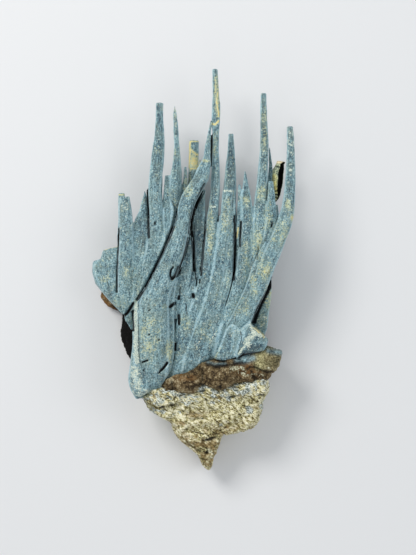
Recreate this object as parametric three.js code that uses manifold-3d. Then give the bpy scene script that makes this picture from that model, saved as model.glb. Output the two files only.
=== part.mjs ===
// A goethite stalactite cluster on its matrix: a hand specimen that lies on its broken back.
// Slender goethite stalactites rise from a brown crust, which sits on a wedge of tan granular rock.
// Millimetres. +Y is the way the stalactites grew, +Z faces the viewer.
// It lies on z = 0.

import * as THREE from 'three';
import { mergeVertices } from 'three/addons/utils/BufferGeometryUtils.js';
import Module from 'manifold-3d';

const wasm = await Module();
wasm.setup();

// Driving dimensions
const CRACK = 0.3; // open crack between one bundle and the next
const SIDES = 7; // facets round a stalactite
const REAR_SIDES = 5; // and round one at the back
const ROUNDNESS = 0.92; // depth of a stalactite over its width
const REST_SIZE = 120; // side of the block that trims the back flat at z = 0

const VELVET = { color: 0x7d969b, roughness: 0.85, metalness: 0.1 };
const BARE_GOETHITE = { color: 0x4a3a28, roughness: 0.6, metalness: 0.1 };
const GRANULAR_ROCK = { color: 0xa89c78, roughness: 0.95, metalness: 0 };
const OCHRE_SKIN = { color: 0xb9ab7a, roughness: 0.9, metalness: 0 };

// Each stalactite is a route of stations from foot to tip: x, y, z and width there.
// A route of two or more ribs that grew into each other is one bundle, and a bundle is one piece.
const DIAGONAL = {
  sweepingTrunk: [
    [-5.8, -19, 7.4, 3.6], [-6, -16.8, 9.2, 4.6], [-6, -11.2, 10.3, 5], [-5.9, -7.4, 10.8, 4.8],
    [-5.5, -3.9, 11.3, 4], [-3.9, 0.1, 11.9, 2.8], [-2.6, 3.1, 11.9, 2.5], [-1.4, 7.2, 11.5, 2],
    [-0.6, 10.2, 11, 2.2], [0.7, 12.7, 10.6, 2.2], [1.7, 15, 10.2, 1.6], [2.25, 17.2, 9.6, 0.9],
    [2.6, 20, 9.1, 0.5], [2.8, 21.8, 8.9, 0.3],
  ],
  paleEdgeRib: [
    [-7.9, -19, 7.2, 1.6], [-8.5, -17.2, 8.2, 2], [-8.6, -15.2, 8.9, 1.8], [-8.3, -11.2, 9.8, 1.3],
    [-8.2, -7.7, 10.2, 1.3], [-7.7, -4.9, 10.6, 1.2], [-6.8, -2.8, 11, 0.8],
  ],
  innerRib: [
    [-4.4, -17.6, 8.2, 1.6], [-3.8, -13.4, 9.8, 1.9], [-3.6, -9.7, 10.2, 1.9], [-3.6, -5.9, 10.5, 1.8],
    [-3.3, -2.6, 10.8, 1.6], [-2.6, 0.1, 11.2, 1.2],
  ],
  buttress: [
    [-2.5, -7.1, 9, 1.8], [-2.2, -4.4, 9.4, 2.2], [-1.6, -1.7, 9.7, 2.6], [-1, 0.7, 9.8, 2],
    [-0.5, 3.1, 9.8, 1.2], [-0.3, 4.9, 9.8, 0.7],
  ],
};

const CURVED = {
  outerCurve: [
    [6.1, -10.9, 9.6, 1.9], [7.6, -7.7, 10.2, 2], [9, -4.7, 10.8, 2.1], [10.1, -1.7, 11.2, 2.4],
    [11.3, 1.3, 11.4, 2.4], [12.6, 4.3, 11.4, 2.3], [13.7, 7, 11.1, 2.2], [14.3, 9.5, 10.8, 1.9],
    [14.6, 12.5, 10.4, 1.6], [14.7, 15.8, 10.1, 1.3], [14.7, 18.8, 9.8, 1.1], [14.6, 21.4, 9.6, 1],
  ],
  innerRib: [
    [4.7, -10.4, 9.8, 1.6], [6.5, -7.1, 10.4, 1.6], [8.2, -3.5, 10.8, 1.5], [9.4, -0.2, 11, 1.5],
    [10.4, 2.5, 11, 1.1], [11.1, 4.1, 10.8, 0.6],
  ],
};

const CENTRE = {
  tallest: [
    [-2.5, -14.6, 8.6, 2], [-1.3, -11.2, 9, 2.1], [-0.1, -7.1, 9.4, 2], [1.1, -3.8, 9.7, 1.9],
    [2, -0.7, 9.8, 1.8], [2.65, 4.2, 9.7, 1.9], [3.15, 9.2, 9.3, 1.5], [3.45, 12.1, 9, 1.4],
    [3.5, 15.2, 8.7, 1.1], [3.5, 20.4, 8.4, 0.85], [3.5, 22.4, 8.2, 1.2], [3.55, 24.4, 8.1, 1.1],
    [3.5, 27, 8, 0.9], [3.4, 30.2, 7.8, 0.7],
  ],
  centreSpire: [
    [4.4, 1.6, 8.8, 1.9], [5.3, 5.3, 8.8, 2.1], [5.5, 9.1, 8.5, 1.9], [5.6, 11.9, 8.2, 1.9],
    [5.7, 14.8, 8, 1.6], [5.8, 17.8, 7.8, 1.2], [5.8, 20.5, 7.6, 0.7],
  ],
  ledgeRib: [
    [-0.1, -13.7, 9.4, 2.3], [1.1, -9.7, 9.9, 2.3], [2.5, -5.6, 10.2, 2], [3.5, -1.9, 10.3, 1.8],
    [4.4, 3.2, 10.3, 1.6], [5, 8.6, 9.8, 1.5], [5.2, 11.7, 9.5, 1.4],
  ],
  narrowRib: [
    [1.7, -13.1, 9.2, 2.3], [2.9, -8.9, 9.7, 2.2], [4.1, -4.9, 10, 1.7], [5.1, -1.4, 10.1, 1.5],
    [5.6, 3.4, 10, 1.3], [5.9, 8.4, 9.5, 1.1], [5.9, 11.6, 9.2, 0.8],
  ],
  fibrousRib: [
    [0.3, -3.4, 8.7, 1.2], [0.9, 0.1, 8.9, 1.3], [1.05, 4.6, 8.9, 1.4], [1.2, 8.3, 8.8, 1.4],
    [1.5, 10.4, 8.7, 0.8], [1.85, 12, 8.6, 0.2],
  ],
  footRib: [
    [-2.2, -13, 8.7, 1.8], [-1.7, -9.7, 9.4, 1.9], [-1.2, -6.6, 9.8, 1.7], [-0.4, -3.4, 9.9, 1.3],
    [0.2, -0.9, 9.8, 0.8],
  ],
  hiddenCore: [[0, -15, 6.8, 5], [1.7, -8, 7.2, 5], [4.3, 3, 7.7, 2.8]],
  leftCore: [[-2.6, -13.4, 7.4, 3], [-1.2, -8, 7.9, 3.2], [1.6, 3, 8.2, 1.8]],
};

const RIGHT = {
  sharpSpire: [
    [3.4, -11.9, 9, 2.1], [5, -7.7, 9.4, 2.1], [6.5, -3.8, 9.7, 2.1], [7.5, 0.1, 9.8, 2.1],
    [8, 3.8, 9.7, 1.9], [8.2, 7.3, 9.4, 1.6], [8.1, 9.8, 9.1, 1.4], [8, 11.8, 8.8, 1.1],
    [8, 13.1, 8.6, 0.7], [7.9, 14.8, 8.5, 0.1],
  ],
  needle: [
    [7, -2.5, 9.1, 0.9], [6.8, 1.3, 9.2, 0.6], [6.8, 4.6, 9.2, 0.6], [6.95, 7.5, 9.1, 0.7],
    [7, 10.4, 8.9, 0.55], [7.05, 12.8, 8.7, 0.4],
  ],
  tallRight: [
    [5.3, -11, 8.8, 2.1], [7, -7.1, 9.2, 2.1], [8.5, -3.2, 9.4, 2], [9.4, 0.8, 9.5, 1.8],
    [9.9, 3.8, 9.4, 1.8], [10.1, 7.6, 9.1, 1.9], [10.2, 10.6, 8.8, 1.8], [10.5, 13.6, 8.5, 1.5],
    [10.7, 16.6, 8.3, 1.3], [10.8, 19.6, 8.1, 1.2], [10.7, 23.3, 7.9, 1], [10.7, 26.6, 7.8, 0.8],
  ],
  thornBehind: [
    [10.2, 5, 8.4, 1.1], [11.2, 11, 7.5, 0.8], [11.8, 15.1, 7.2, 0.6], [11.7, 17.2, 7.1, 0.4],
    [11.6, 18.5, 7.1, 0.2],
  ],
  roundedRib: [
    [10.4, 1.3, 9, 1.2], [11.1, 4.1, 9.6, 1.5], [11.7, 6.7, 9.8, 1.6], [11.8, 8.8, 9.8, 1.5],
    [11.8, 11, 9.6, 1.1], [11.7, 13.2, 9.4, 0.7],
  ],
  hiddenCore: [[4.6, -11, 6.8, 3.4], [7, -6, 7.2, 3.4], [8.8, -1, 7.6, 2.8], [9.6, 3, 8, 2]],
};

const LEFT = {
  bluntSpire: [
    [-9.5, -7.7, 7.6, 1.3], [-9.8, -4.4, 8.2, 2.2], [-10, -1.4, 8.6, 2.5], [-9.95, 3.1, 8.9, 2.2],
    [-10, 7.3, 8.9, 1.9], [-10.2, 10.9, 8.8, 1.5],
  ],
  splinter: [
    [-10.4, -1, 7.4, 1.2], [-10.9, 4, 7.6, 0.9], [-10.75, 8.3, 7.8, 0.95], [-10.7, 11.5, 7.9, 0.95],
  ],
  bladeBehind: [
    [-8.5, -5.2, 6.9, 1.6], [-8.1, -1, 7.4, 2.4], [-7.9, 5.2, 7.5, 2.6], [-7.75, 7.2, 7.5, 2.2],
    [-7.5, 8.3, 7.4, 1.5], [-7.3, 9.5, 7.3, 0.9], [-7.2, 11, 7.2, 0.6], [-7.3, 12, 7.1, 0.2],
  ],
  shortRib: [
    [-8.6, -5.9, 8.6, 1.2], [-8.1, -2.2, 9, 1.5], [-7.7, 1.3, 9, 1.3], [-7.4, 3.8, 8.8, 0.9],
    [-7.2, 5.8, 8.5, 0.4],
  ],
  tallLeft: [
    [-8, -5.6, 8, 1.9], [-7, -1.9, 8.8, 2.3], [-6, 2, 9.2, 2.4], [-5.5, 5.8, 9.2, 2.2],
    [-5.5, 9.1, 9, 2], [-5.7, 12.1, 8.8, 1.9], [-5.4, 15.8, 8.5, 1.9], [-5.2, 18.1, 8.3, 1.8],
    [-5, 20.2, 8.1, 1.5], [-5, 22.6, 7.9, 1.2], [-5, 25.1, 7.7, 1.1],
  ],
  companion: [
    [-5.6, 1.3, 8.4, 1.6], [-4.6, 4.6, 8.5, 1.8], [-4, 8.3, 8.3, 1.6], [-3.9, 11.3, 8, 1],
    [-3.8, 14.2, 7.8, 0.7],
  ],
  slenderSpire: [
    [-4.6, 1, 8, 1.3], [-3.2, 6.8, 7.9, 1.8], [-2.7, 9.8, 7.7, 1.8], [-2.6, 12.4, 7.4, 1.7],
    [-2.5, 14.5, 7.2, 1.6], [-2.4, 16.6, 7, 1.2], [-2.4, 18.8, 6.9, 0.8], [-2.6, 22.6, 6.7, 0.7],
    [-2.7, 24.7, 6.6, 0.2],
  ],
  stub: [[-3.1, 4, 7.3, 1.3], [-1.5, 10.5, 6.7, 1.3], [-1.1, 13.9, 6.5, 0.7], [-1.1, 15.6, 6.5, 0.4]],
  innerMass: [[-8.4, -6.4, 6.9, 2.6], [-8.4, -3, 7.3, 4], [-7.6, 1, 7.5, 4.2], [-6.2, 8, 7.4, 1.8]],
  hiddenCore: [[-5, -17, 6.4, 3.6], [-6.2, -12, 6.6, 3.4], [-7.6, -6, 6.8, 2.6]],
};

// The broken tube, and the hollow that is open along its right-hand side.
const HOLLOW_SHELL = [
  [12.7, 10.1, 6.4, 0.5], [12.9, 12.1, 6.5, 1.3], [13, 14, 6.6, 1.8], [13.2, 15.4, 6.7, 1.6],
  [13.5, 16.5, 6.7, 1.3],
];
const HOLLOW_BORE = [
  [13.3, 10.6, 7.3, 0.5], [13.6, 13, 7.2, 0.9], [13.8, 15, 7.1, 0.8], [13.9, 17, 7.1, 0.8],
];

const REAR_LEFT = {
  behindBlunt: [[-6.5, -13, 4.5, 2.6], [-8.6, -6, 4.8, 2.5], [-9.7, 1, 5.2, 2], [-10.1, 8.5, 5.4, 1]],
  behindBlade: [[-5.5, -13, 4.2, 2.6], [-7.2, -6, 4.4, 2.6], [-7.6, 0, 4.6, 2.2], [-7.5, 6.5, 4.6, 1]],
  behindTall: [
    [-4.6, -13, 4.6, 2.6], [-6, -5, 5, 2.6], [-5.7, 3, 5.2, 2.2], [-5.4, 11, 5.3, 1.6],
    [-5.1, 19, 5.4, 0.8],
  ],
  behindSlender: [
    [-3.5, -13, 4.2, 2.6], [-4.4, -4, 4.6, 2.4], [-3.4, 4, 4.8, 2], [-2.8, 12, 4.9, 1.2],
    [-2.5, 17, 5, 0.6],
  ],
  ochreStub: [
    [-1.5, -13, 4.4, 2.4], [-1, 0, 5, 2.2], [-0.6, 8, 5, 1.8], [0, 13.6, 5, 1.5], [0.2, 19.6, 5, 1.4],
  ],
  sliver: [[-0.2, 6, 5.6, 1], [0.8, 12.5, 6, 0.7], [1.1, 16.8, 6, 0.3]],
};

const REAR_RIGHT = {
  behindTallest: [
    [0.8, -13, 4.4, 2.6], [1.2, -5, 4.8, 2.6], [2.6, 3, 5.2, 2.2], [3.4, 12, 5.4, 1.3], [3.6, 20, 5.5, 0.7],
  ],
  behindCentre: [
    [2.5, -13, 4.2, 2.6], [3.8, -5, 4.6, 2.6], [5, 3, 4.9, 2.2], [5.6, 10, 5, 1.4], [5.8, 16, 5.1, 0.7],
  ],
  behindSharp: [
    [4, -13, 4.4, 2.6], [6, -5, 4.8, 2.6], [7.5, 2, 5.2, 2], [7.9, 7, 5.4, 1.2], [8, 11, 5.5, 0.6],
  ],
  behindTallRight: [
    [5.5, -13, 4.4, 2.6], [8.3, -4, 4.9, 2.6], [10, 4, 5.2, 2.2], [10.3, 12, 5.4, 1.4],
    [10.6, 19, 5.5, 0.7],
  ],
  behindCurved: [
    [6.5, -13, 4.6, 2.6], [9, -6, 5.2, 2.4], [11.2, 0, 5.8, 2.2], [12.4, 5, 6.2, 1.7],
    [12.6, 9.9, 6.4, 0.8],
  ],
  rightFlank: [
    [8.6, -11.8, 5.2, 2.4], [10, -8.8, 6.2, 2.4], [10.5, -6.4, 6.8, 2], [11.1, -3.9, 7, 1.5],
    [11.5, -1.8, 7.1, 0.9], [11.8, -0.4, 7.1, 0.4],
  ],
};

// A rock is an outline in plan with a rounded rim, a back and a front that may rise and fall.
const APRON = {
  outline: [
    [-4.3, -17.2], [-1.1, -15.7], [1.1, -14.1], [3.2, -13.3], [5.8, -13.4], [7.6, -13.2], [9.5, -12.3],
    [11.3, -11.5], [10.4, -9.7], [7.9, -7.1], [4.9, -5.9], [1.9, -5.9], [-0.7, -8.2], [-2.6, -11.2],
    [-4, -14.6],
  ],
  centre: [3.4, -10.6],
  back: 5,
  front: (x, y) => 10.6 + 0.3 * Math.sin(1.1 * x - 0.7 * y),
  rows: 6,
  rim: 0.45,
};

const FLAKES = [
  {
    // the rounded lobe
    outline: [
      [5.8, -13.1], [6.4, -11.6], [6.8, -10], [7.1, -8.8], [6.5, -8.2], [5.8, -7.9], [5, -8.6], [4.6, -9.7],
      [4, -11.3], [3.3, -13.1],
    ],
    centre: [5.5, -10.4],
    back: 9.4,
    front: () => 11.7,
    rows: 6,
    rim: 0.4,
  },
  {
    // the blade, which rises to the right
    outline: [
      [6.1, -11.4], [5.8, -13], [6.5, -13], [6.8, -11.9], [7.6, -10.7], [8.6, -9.4], [8.9, -8.3],
      [8.6, -7.4], [7.9, -8], [7.1, -8.8],
    ],
    centre: [7.3, -10],
    back: 9.2,
    front: (x) => 12.1 + 0.4 * (x - 7.3),
    rows: 6,
    rim: 0.3,
  },
  {
    // the facet, which falls away from the blade's crest
    outline: [
      [7.4, -10.9], [6.5, -12.2], [6.6, -13.1], [8.3, -12.5], [9.8, -12.2], [10.6, -11.9], [11, -11.3],
      [11.4, -10.4], [10.4, -9.5], [9.5, -8.7], [8.4, -8.6],
    ],
    centre: [8.9, -10.8],
    back: 8,
    front: (x, y) => 12 - 0.15 * (x - 9) + 0.3 * (y + 10.8),
    rows: 6,
    rim: 0.25,
  },
];

const LEFT_FLAKE = {
  outline: [
    [-11.1, 3.8], [-13.7, 3.2], [-14.1, 1.8], [-15.2, 1.5], [-15.4, -0.2], [-14.9, -2], [-13.8, -3.4],
    [-11.8, -5.6], [-10.6, -6.9], [-9.1, -5.4], [-9.7, 0.1], [-10.3, 3.7],
  ],
  centre: [-12, -1],
  back: 4,
  front: (x, y) => 7.4 + 0.12 * (x + 12) + 0.2 * Math.sin(1.6 * y + x),
  rows: 6,
  rim: 0.3,
};

const ROOT_BAND = [
  {
    outline: [
      [-8.9, -17.6], [-6.4, -18.5], [-3.3, -17.9], [-1.1, -18.2], [0.2, -17.4], [-0.4, -15.2],
      [-2.9, -16.2], [-5.2, -16.4], [-8.6, -16],
    ],
    centre: [-3.8, -17.1],
    back: -0.6,
    front: () => 14,
    rows: 6,
    rim: 0.25,
  },
  {
    outline: [
      [-1.6, -17.9], [0.3, -17.7], [1.4, -16.9], [3.3, -17.5], [4.3, -17.7], [6.4, -17.2], [6.6, -13.3],
      [3.3, -13.2], [1.1, -14], [-1.1, -15.6],
    ],
    centre: [1.6, -15.8],
    back: -0.6,
    front: () => 14,
    rows: 6,
    rim: 0.25,
  },
  {
    outline: [
      [4, -17.3], [6.7, -16.7], [9.1, -16.6], [11.3, -16.3], [12, -15.1], [12.9, -14], [13.2, -12.2],
      [11.3, -11.4], [9.4, -12.2], [7.6, -13.1], [4.8, -13.3],
    ],
    centre: [8.4, -14.5],
    back: -0.6,
    front: () => 14,
    rows: 6,
    rim: 0.25,
  },
];

const BAND_SURFACE = {
  box: [-11, -20, 15, -10],
  facet: 0.95,
  // highest in the middle, lower at the left foot and out along the right-hand ledge
  height: (x, y) => 11.3 - 0.8 * Math.max(0, -3.5 - x) - 0.35 * Math.max(0, x - 7.5)
    + 0.3 * Math.cos(1.3 * x) - 0.28 * Math.abs(y + 14.6 - 0.22 * x),
};

const REAR_PLATE = {
  outline: [
    [-12.1, 1.3], [-14.1, -2.9], [-13.7, -4.1], [-13.1, -5], [-12.1, -6.1], [-11, -6.8], [-10.8, -8.9],
    [-10.6, -10.7], [-10.1, -12.2], [-9.7, -13.7], [-9.4, -17.2], [-8.5, -19.1], [-4.9, -19.4],
    [1.1, -18.7], [7.1, -17.2], [10.4, -14.9], [11.2, -11.2], [11.3, -7.1], [11.8, -4.4], [11.9, -2.2], [10.4, 1],
    [7.9, 2.3], [4.9, 3.4], [1.9, 2.8], [-0.4, 4.1], [-3.4, 3.4], [-6.4, 4.1], [-9.4, 3.1],
  ],
  centre: [0, -7.5],
  back: -0.8,
  front: (x, y) => 3.2 + 0.25 * Math.sin(1.7 * x + 0.4 * y),
  rows: 6,
  rim: 0.45,
};

const MATRIX = {
  outline: [
    [-9.1, -15.6], [-9.3, -17.6], [-8.6, -19.1], [-7.8, -19.5], [-6.6, -21.3], [-5.1, -22.4],
    [-3.5, -23.1], [-2.9, -23.8], [-2.2, -25.3], [-0.7, -26.7], [0.5, -27.6], [1.4, -28.6], [1.8, -29.8],
    [2.5, -30.22], [3.1, -28.9], [4, -26.9], [4.4, -25.4], [4.7, -24.8], [5.2, -25.1], [6.7, -24.7],
    [9.4, -24], [10.3, -22.2], [10.7, -20.7], [10.5, -19.8], [11.4, -18.4], [11.4, -16.4], [9, -13.4],
    [4, -13.4], [-3, -14],
  ],
  centre: [2.4, -19.6],
  back: -0.8,
  front: (x, y) => 13.6 - 0.4 * Math.max(0, -17 - y),
  rows: 6,
  rim: 0.32,
};

const MATRIX_SURFACE = {
  box: [-11, -32, 13, -12.5],
  facet: 1.5,
  // falls away from the crust in broken steps, and rounds down to the left shoulder
  height: (x, y) => {
    const below = Math.max(0, -16.6 + 0.15 * x - y);
    const lumps = 0.35 * Math.sin(1.9 * x + 0.8 * y) * Math.sin(1.5 * y - 0.6 * x);
    const behindCrust = Math.max(0, y + 17.4 - 0.08 * x);
    const shoulder = Math.max(0, -4 - x);
    return 10.5 - 0.36 * below - 0.26 * Math.sin(1.7 * below) - 0.2 * shoulder - 2.2 * behindCrust + lumps;
  },
};

// A closed mesh whose shared corners are merged, as a solid that can be joined and cut.
function toSolid(geometry) {
  const bare = geometry.clone();
  bare.deleteAttribute('normal');
  bare.deleteAttribute('uv');
  const merged = mergeVertices(bare, 1e-4);
  return new wasm.Manifold(new wasm.Mesh({
    numProp: 3,
    vertProperties: new Float32Array(merged.getAttribute('position').array),
    triVerts: new Uint32Array(merged.index.array),
  }));
}

// A cylinder bent along the route: one ring of facets at each station, flat ends where it broke off.
function stalactite(route, skin = 0, sides = SIDES) {
  const spans = route.length - 1;
  const points = route.map(([x, y, z]) => new THREE.Vector3(x, y, z));
  const rings = route.map(([, , , width], i) => {
    const along = points[Math.min(i + 1, spans)].clone().sub(points[Math.max(i - 1, 0)]).normalize();
    const side = new THREE.Vector3().crossVectors(along, new THREE.Vector3(0, 0, 1)).normalize();
    const facing = new THREE.Vector3().crossVectors(side, along);
    const overrun = i === 0 ? -skin : i === spans ? skin : 0;
    return { middle: points[i].clone().addScaledVector(along, overrun), side, facing, radius: width / 2 };
  });
  const geometry = new THREE.CylinderGeometry(1, 1, 1, sides, spans);
  const position = geometry.getAttribute('position');
  for (let i = 0; i < position.count; i++) {
    const ring = rings[Math.round((position.getY(i) + 0.5) * spans)];
    const corner = ring.middle.clone()
      .addScaledVector(ring.side, position.getX(i) * (ring.radius + skin))
      .addScaledVector(ring.facing, position.getZ(i) * (ring.radius * ROUNDNESS + skin));
    position.setXYZ(i, corner.x, corner.y, corner.z);
  }
  return toSolid(geometry);
}

// A sphere pressed into the outline: meridian k runs out to outline point k.
// Rim sets how square the edge is. The outline's corners fade towards the middle, where the rock is round.
function rock({ outline, centre, back, front, rows, rim }, skin = 0) {
  const [cx, cy] = centre;
  const reaches = outline.map(([px, py]) => Math.hypot(px - cx, py - cy));
  const meanReach = reaches.reduce((sum, reach) => sum + reach) / reaches.length;
  const geometry = new THREE.SphereGeometry(1, outline.length, rows);
  const position = geometry.getAttribute('position');
  for (let i = 0; i < position.count; i++) {
    const upright = position.getY(i);
    const reach = Math.sqrt(Math.max(0, 1 - upright * upright));
    const [px, py] = outline[i % (outline.length + 1) % outline.length];
    const outward = new THREE.Vector2(px - cx, py - cy);
    const cornering = reach ** 3;
    const rounded = Math.min(meanReach, outward.length());
    const plan = outward.clone().setLength(THREE.MathUtils.lerp(rounded, outward.length(), cornering));
    plan.multiplyScalar(reach);
    const top = front(cx + plan.x, cy + plan.y) + skin;
    const bottom = back - skin;
    const height = Math.sign(upright) * Math.abs(upright) ** rim;
    plan.addScaledVector(outward.normalize(), skin * reach);
    position.setXYZ(i, cx + plan.x, cy + plan.y, (top + bottom) / 2 + height * (top - bottom) / 2);
  }
  return toSolid(geometry);
}

// All the space under a rough surface, on a net of uneven facets.
function under({ box: [left, low, right, high], facet, height }, skin = 0) {
  const across = right - left;
  const up = high - low;
  const columns = Math.round(across / facet);
  const rows = Math.round(up / facet);
  const geometry = new THREE.BoxGeometry(across, up, 2, columns, rows, 1);
  const position = geometry.getAttribute('position');
  for (let i = 0; i < position.count; i++) {
    const px = position.getX(i);
    const py = position.getY(i);
    const inside = Math.abs(px) < across / 2 - 0.01 && Math.abs(py) < up / 2 - 0.01;
    const stray = inside ? 0.28 * facet : 0;
    const x = (left + right) / 2 + px + stray * Math.sin(5.1 * px + 8.7 * py);
    const y = (low + high) / 2 + py + stray * Math.sin(7.3 * px - 4.9 * py);
    position.setXYZ(i, x, y, position.getZ(i) > 0 ? height(x, y) + skin : -2);
  }
  return toSolid(geometry);
}

const joined = (solids) => solids.reduce((whole, next) => whole.add(next));

// Ribs that grew into each other, as one solid.
function bundle(ribs, skin, sides) {
  return joined(Object.values(ribs).map((route) => stalactite(route, skin, sides)));
}

const rocks = (shapes, skin) => joined(shapes.map((shape) => rock(shape, skin)));

// The band under its rough surface, and the plate behind the stalactites.
function crust(skin) {
  return rocks(ROOT_BAND, skin).intersect(under(BAND_SURFACE, skin)).add(rock(REAR_PLATE, skin));
}

// The tube, open where the bore breaks out of its side.
function brokenTube(skin) {
  return stalactite(HOLLOW_SHELL, skin).subtract(stalactite(HOLLOW_BORE));
}

// Front pieces come first: each later piece stops a crack's width short of the ones before it.
const PIECES = [
  ['diagonal_stalactite', VELVET, (skin) => bundle(DIAGONAL, skin)],
  ['curled_flakes', VELVET, (skin) => rocks(FLAKES, skin)],
  ['curved_stalactite', VELVET, (skin) => bundle(CURVED, skin)],
  ['brown_crust', BARE_GOETHITE, crust],
  ['centre_stalactites', VELVET, (skin) => bundle(CENTRE, skin).add(rock(APRON, skin))],
  ['right_stalactites', VELVET, (skin) => bundle(RIGHT, skin)],
  ['left_stalactites', VELVET, (skin) => bundle(LEFT, skin)],
  ['left_flake', VELVET, (skin) => rock(LEFT_FLAKE, skin)],
  ['hollow_stalactite', OCHRE_SKIN, brokenTube],
  ['rear_left_stalactites', VELVET, (skin) => bundle(REAR_LEFT, skin, REAR_SIDES)],
  ['rear_right_stalactites', VELVET, (skin) => bundle(REAR_RIGHT, skin, REAR_SIDES)],
  ['matrix', GRANULAR_ROCK, (skin) => rock(MATRIX, skin).intersect(under(MATRIX_SURFACE, skin))],
];

const restBlock = new THREE.BoxGeometry(REST_SIZE, REST_SIZE, REST_SIZE);
const belowRest = toSolid(restBlock.translate(0, 0, -REST_SIZE / 2));

// The biggest body that is left once its neighbours and the ground are cut away.
function trimmed(solid, neighbours) {
  const cut = neighbours.reduce((left, other) => left.subtract(other), solid.subtract(belowRest));
  return cut.decompose().sort((a, b) => b.volume() - a.volume())[0];
}

function toMesh(name, finish, solid) {
  const { vertProperties, triVerts, numProp } = solid.getMesh();
  const corners = [];
  for (let i = 0; i < vertProperties.length; i += numProp) {
    corners.push(...vertProperties.subarray(i, i + 3));
  }
  const geometry = new THREE.BufferGeometry()
    .setAttribute('position', new THREE.Float32BufferAttribute(corners, 3))
    .setIndex([...triVerts]);
  const material = new THREE.MeshStandardMaterial({ ...finish, flatShading: true });
  const mesh = new THREE.Mesh(geometry.toNonIndexed(), material);
  mesh.geometry.computeVertexNormals();
  mesh.name = name;
  return mesh;
}

const specimen = new THREE.Group();
const inFront = [];
for (const [name, finish, shape] of PIECES) {
  specimen.add(toMesh(name, finish, trimmed(shape(0), inFront)));
  inFront.push(shape(CRACK));
}

// the origin is the middle of the surface it lies on
const middle = new THREE.Box3().setFromObject(specimen).getCenter(new THREE.Vector3());
for (const mesh of specimen.children) mesh.geometry.translate(-middle.x, -middle.y, 0);

export default specimen;
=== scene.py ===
import bpy
import numpy as np
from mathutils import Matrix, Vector


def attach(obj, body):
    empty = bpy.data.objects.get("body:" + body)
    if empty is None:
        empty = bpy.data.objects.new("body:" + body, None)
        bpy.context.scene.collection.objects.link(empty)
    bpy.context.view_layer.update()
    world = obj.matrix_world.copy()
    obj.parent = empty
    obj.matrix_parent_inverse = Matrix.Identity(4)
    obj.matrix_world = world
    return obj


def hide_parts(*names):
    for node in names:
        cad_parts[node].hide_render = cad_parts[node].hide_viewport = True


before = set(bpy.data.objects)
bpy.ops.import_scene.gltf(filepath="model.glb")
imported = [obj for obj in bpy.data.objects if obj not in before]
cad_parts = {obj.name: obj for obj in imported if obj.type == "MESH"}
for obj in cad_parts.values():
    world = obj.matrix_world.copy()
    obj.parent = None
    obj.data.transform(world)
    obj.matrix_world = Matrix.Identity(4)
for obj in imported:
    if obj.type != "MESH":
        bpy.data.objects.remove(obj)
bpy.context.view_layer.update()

# Everything below is worked out in millimetres, on the frame's axes, and scaled on its way into a mesh.
mm = 0.001

view = {
    "middle": (2.32, -1.05), "height": 83.25, "plane": 9.0, "lens": 100.0, "sensor": 36.0, "nearest": 10.0,
}


def makeCamera():
    # height above the plane = lens * shown height / sensor
    data = bpy.data.cameras.new("viewFromAbove")
    data.lens = view["lens"]
    data.sensor_width = view["sensor"]
    data.sensor_height = view["sensor"]
    data.sensor_fit = "AUTO"
    data.clip_start = view["nearest"] * mm
    camera = bpy.data.objects.new("viewFromAbove", data)
    rise = view["plane"] + view["lens"] * view["height"] / view["sensor"]
    camera.location = (view["middle"][0] * mm, view["middle"][1] * mm, rise * mm)
    bpy.context.scene.collection.objects.link(camera)
    bpy.context.scene.camera = camera


makeCamera()

studio = {
    "floorHalf": 1500, "floorColour": (0.74, 0.75, 0.76, 1), "floorRoughness": 0.9,
    "worldColour": (0.93, 0.96, 1.0, 1), "worldStrength": 0.5,
    # place, size, power and colour of each soft box, in millimetres and watts; they aim at the specimen
    "softBoxes": [
        ((-150, 170, 240), 120, 0.66, (1.0, 0.98, 0.95)), ((200, 30, 220), 160, 0.15, (0.95, 0.98, 1.0)),
        ((-20, -220, 210), 160, 0.1, (1.0, 0.99, 0.97)),
    ],
}


def makeStudio():
    # a flat floor, an even sky and soft boxes that aim at the middle
    half = studio["floorHalf"] * mm
    mesh = bpy.data.meshes.new("floor")
    corners = [(x * half, y * half, 0) for x, y in ((-1, -1), (1, -1), (1, 1), (-1, 1))]
    mesh.from_pydata(corners, [], [(0, 1, 2, 3)])
    floor = bpy.data.objects.new("floor", mesh)
    bpy.context.scene.collection.objects.link(floor)
    paint = bpy.data.materials.new("floorPaint")
    paint.use_nodes = True
    shader = paint.node_tree.nodes["Principled BSDF"]
    shader.inputs["Base Color"].default_value = studio["floorColour"]
    shader.inputs["Roughness"].default_value = studio["floorRoughness"]
    mesh.materials.append(paint)
    world = bpy.data.worlds.new("studioAir")
    world.use_nodes = True
    air = world.node_tree.nodes["Background"]
    air.inputs["Color"].default_value = studio["worldColour"]
    air.inputs["Strength"].default_value = studio["worldStrength"]
    bpy.context.scene.world = world
    bpy.context.scene.view_settings.view_transform = "Standard"
    for i, (place, size, power, colour) in enumerate(studio["softBoxes"]):
        light = bpy.data.lights.new("softBox%d" % i, "AREA")
        light.energy = power
        light.size = size * mm
        light.color = colour
        lamp = bpy.data.objects.new("softBox%d" % i, light)
        lamp.location = [c * mm for c in place]
        lamp.rotation_euler = (-Vector(place)).to_track_quat("-Z", "Y").to_euler()
        bpy.context.scene.collection.objects.link(lamp)


makeStudio()
print("studio: camera, floor and three soft boxes")


def cellNumber(ix, iy, iz, seed):
    # whole-number cell to a repeatable number from 0 to 1, by multiplying and folding its bits
    h = (ix * 73856093) ^ (iy * 19349663) ^ (iz * 83492791) ^ (seed * 40503 + 977)
    h = ((h & 0xFFFFFFFF) ^ ((h & 0xFFFFFFFF) >> 13)) * 1274126177
    h = (h & 0xFFFFFFFF) ^ ((h & 0xFFFFFFFF) >> 16)
    return (h & 0xFFFF) / 65535.0


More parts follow.
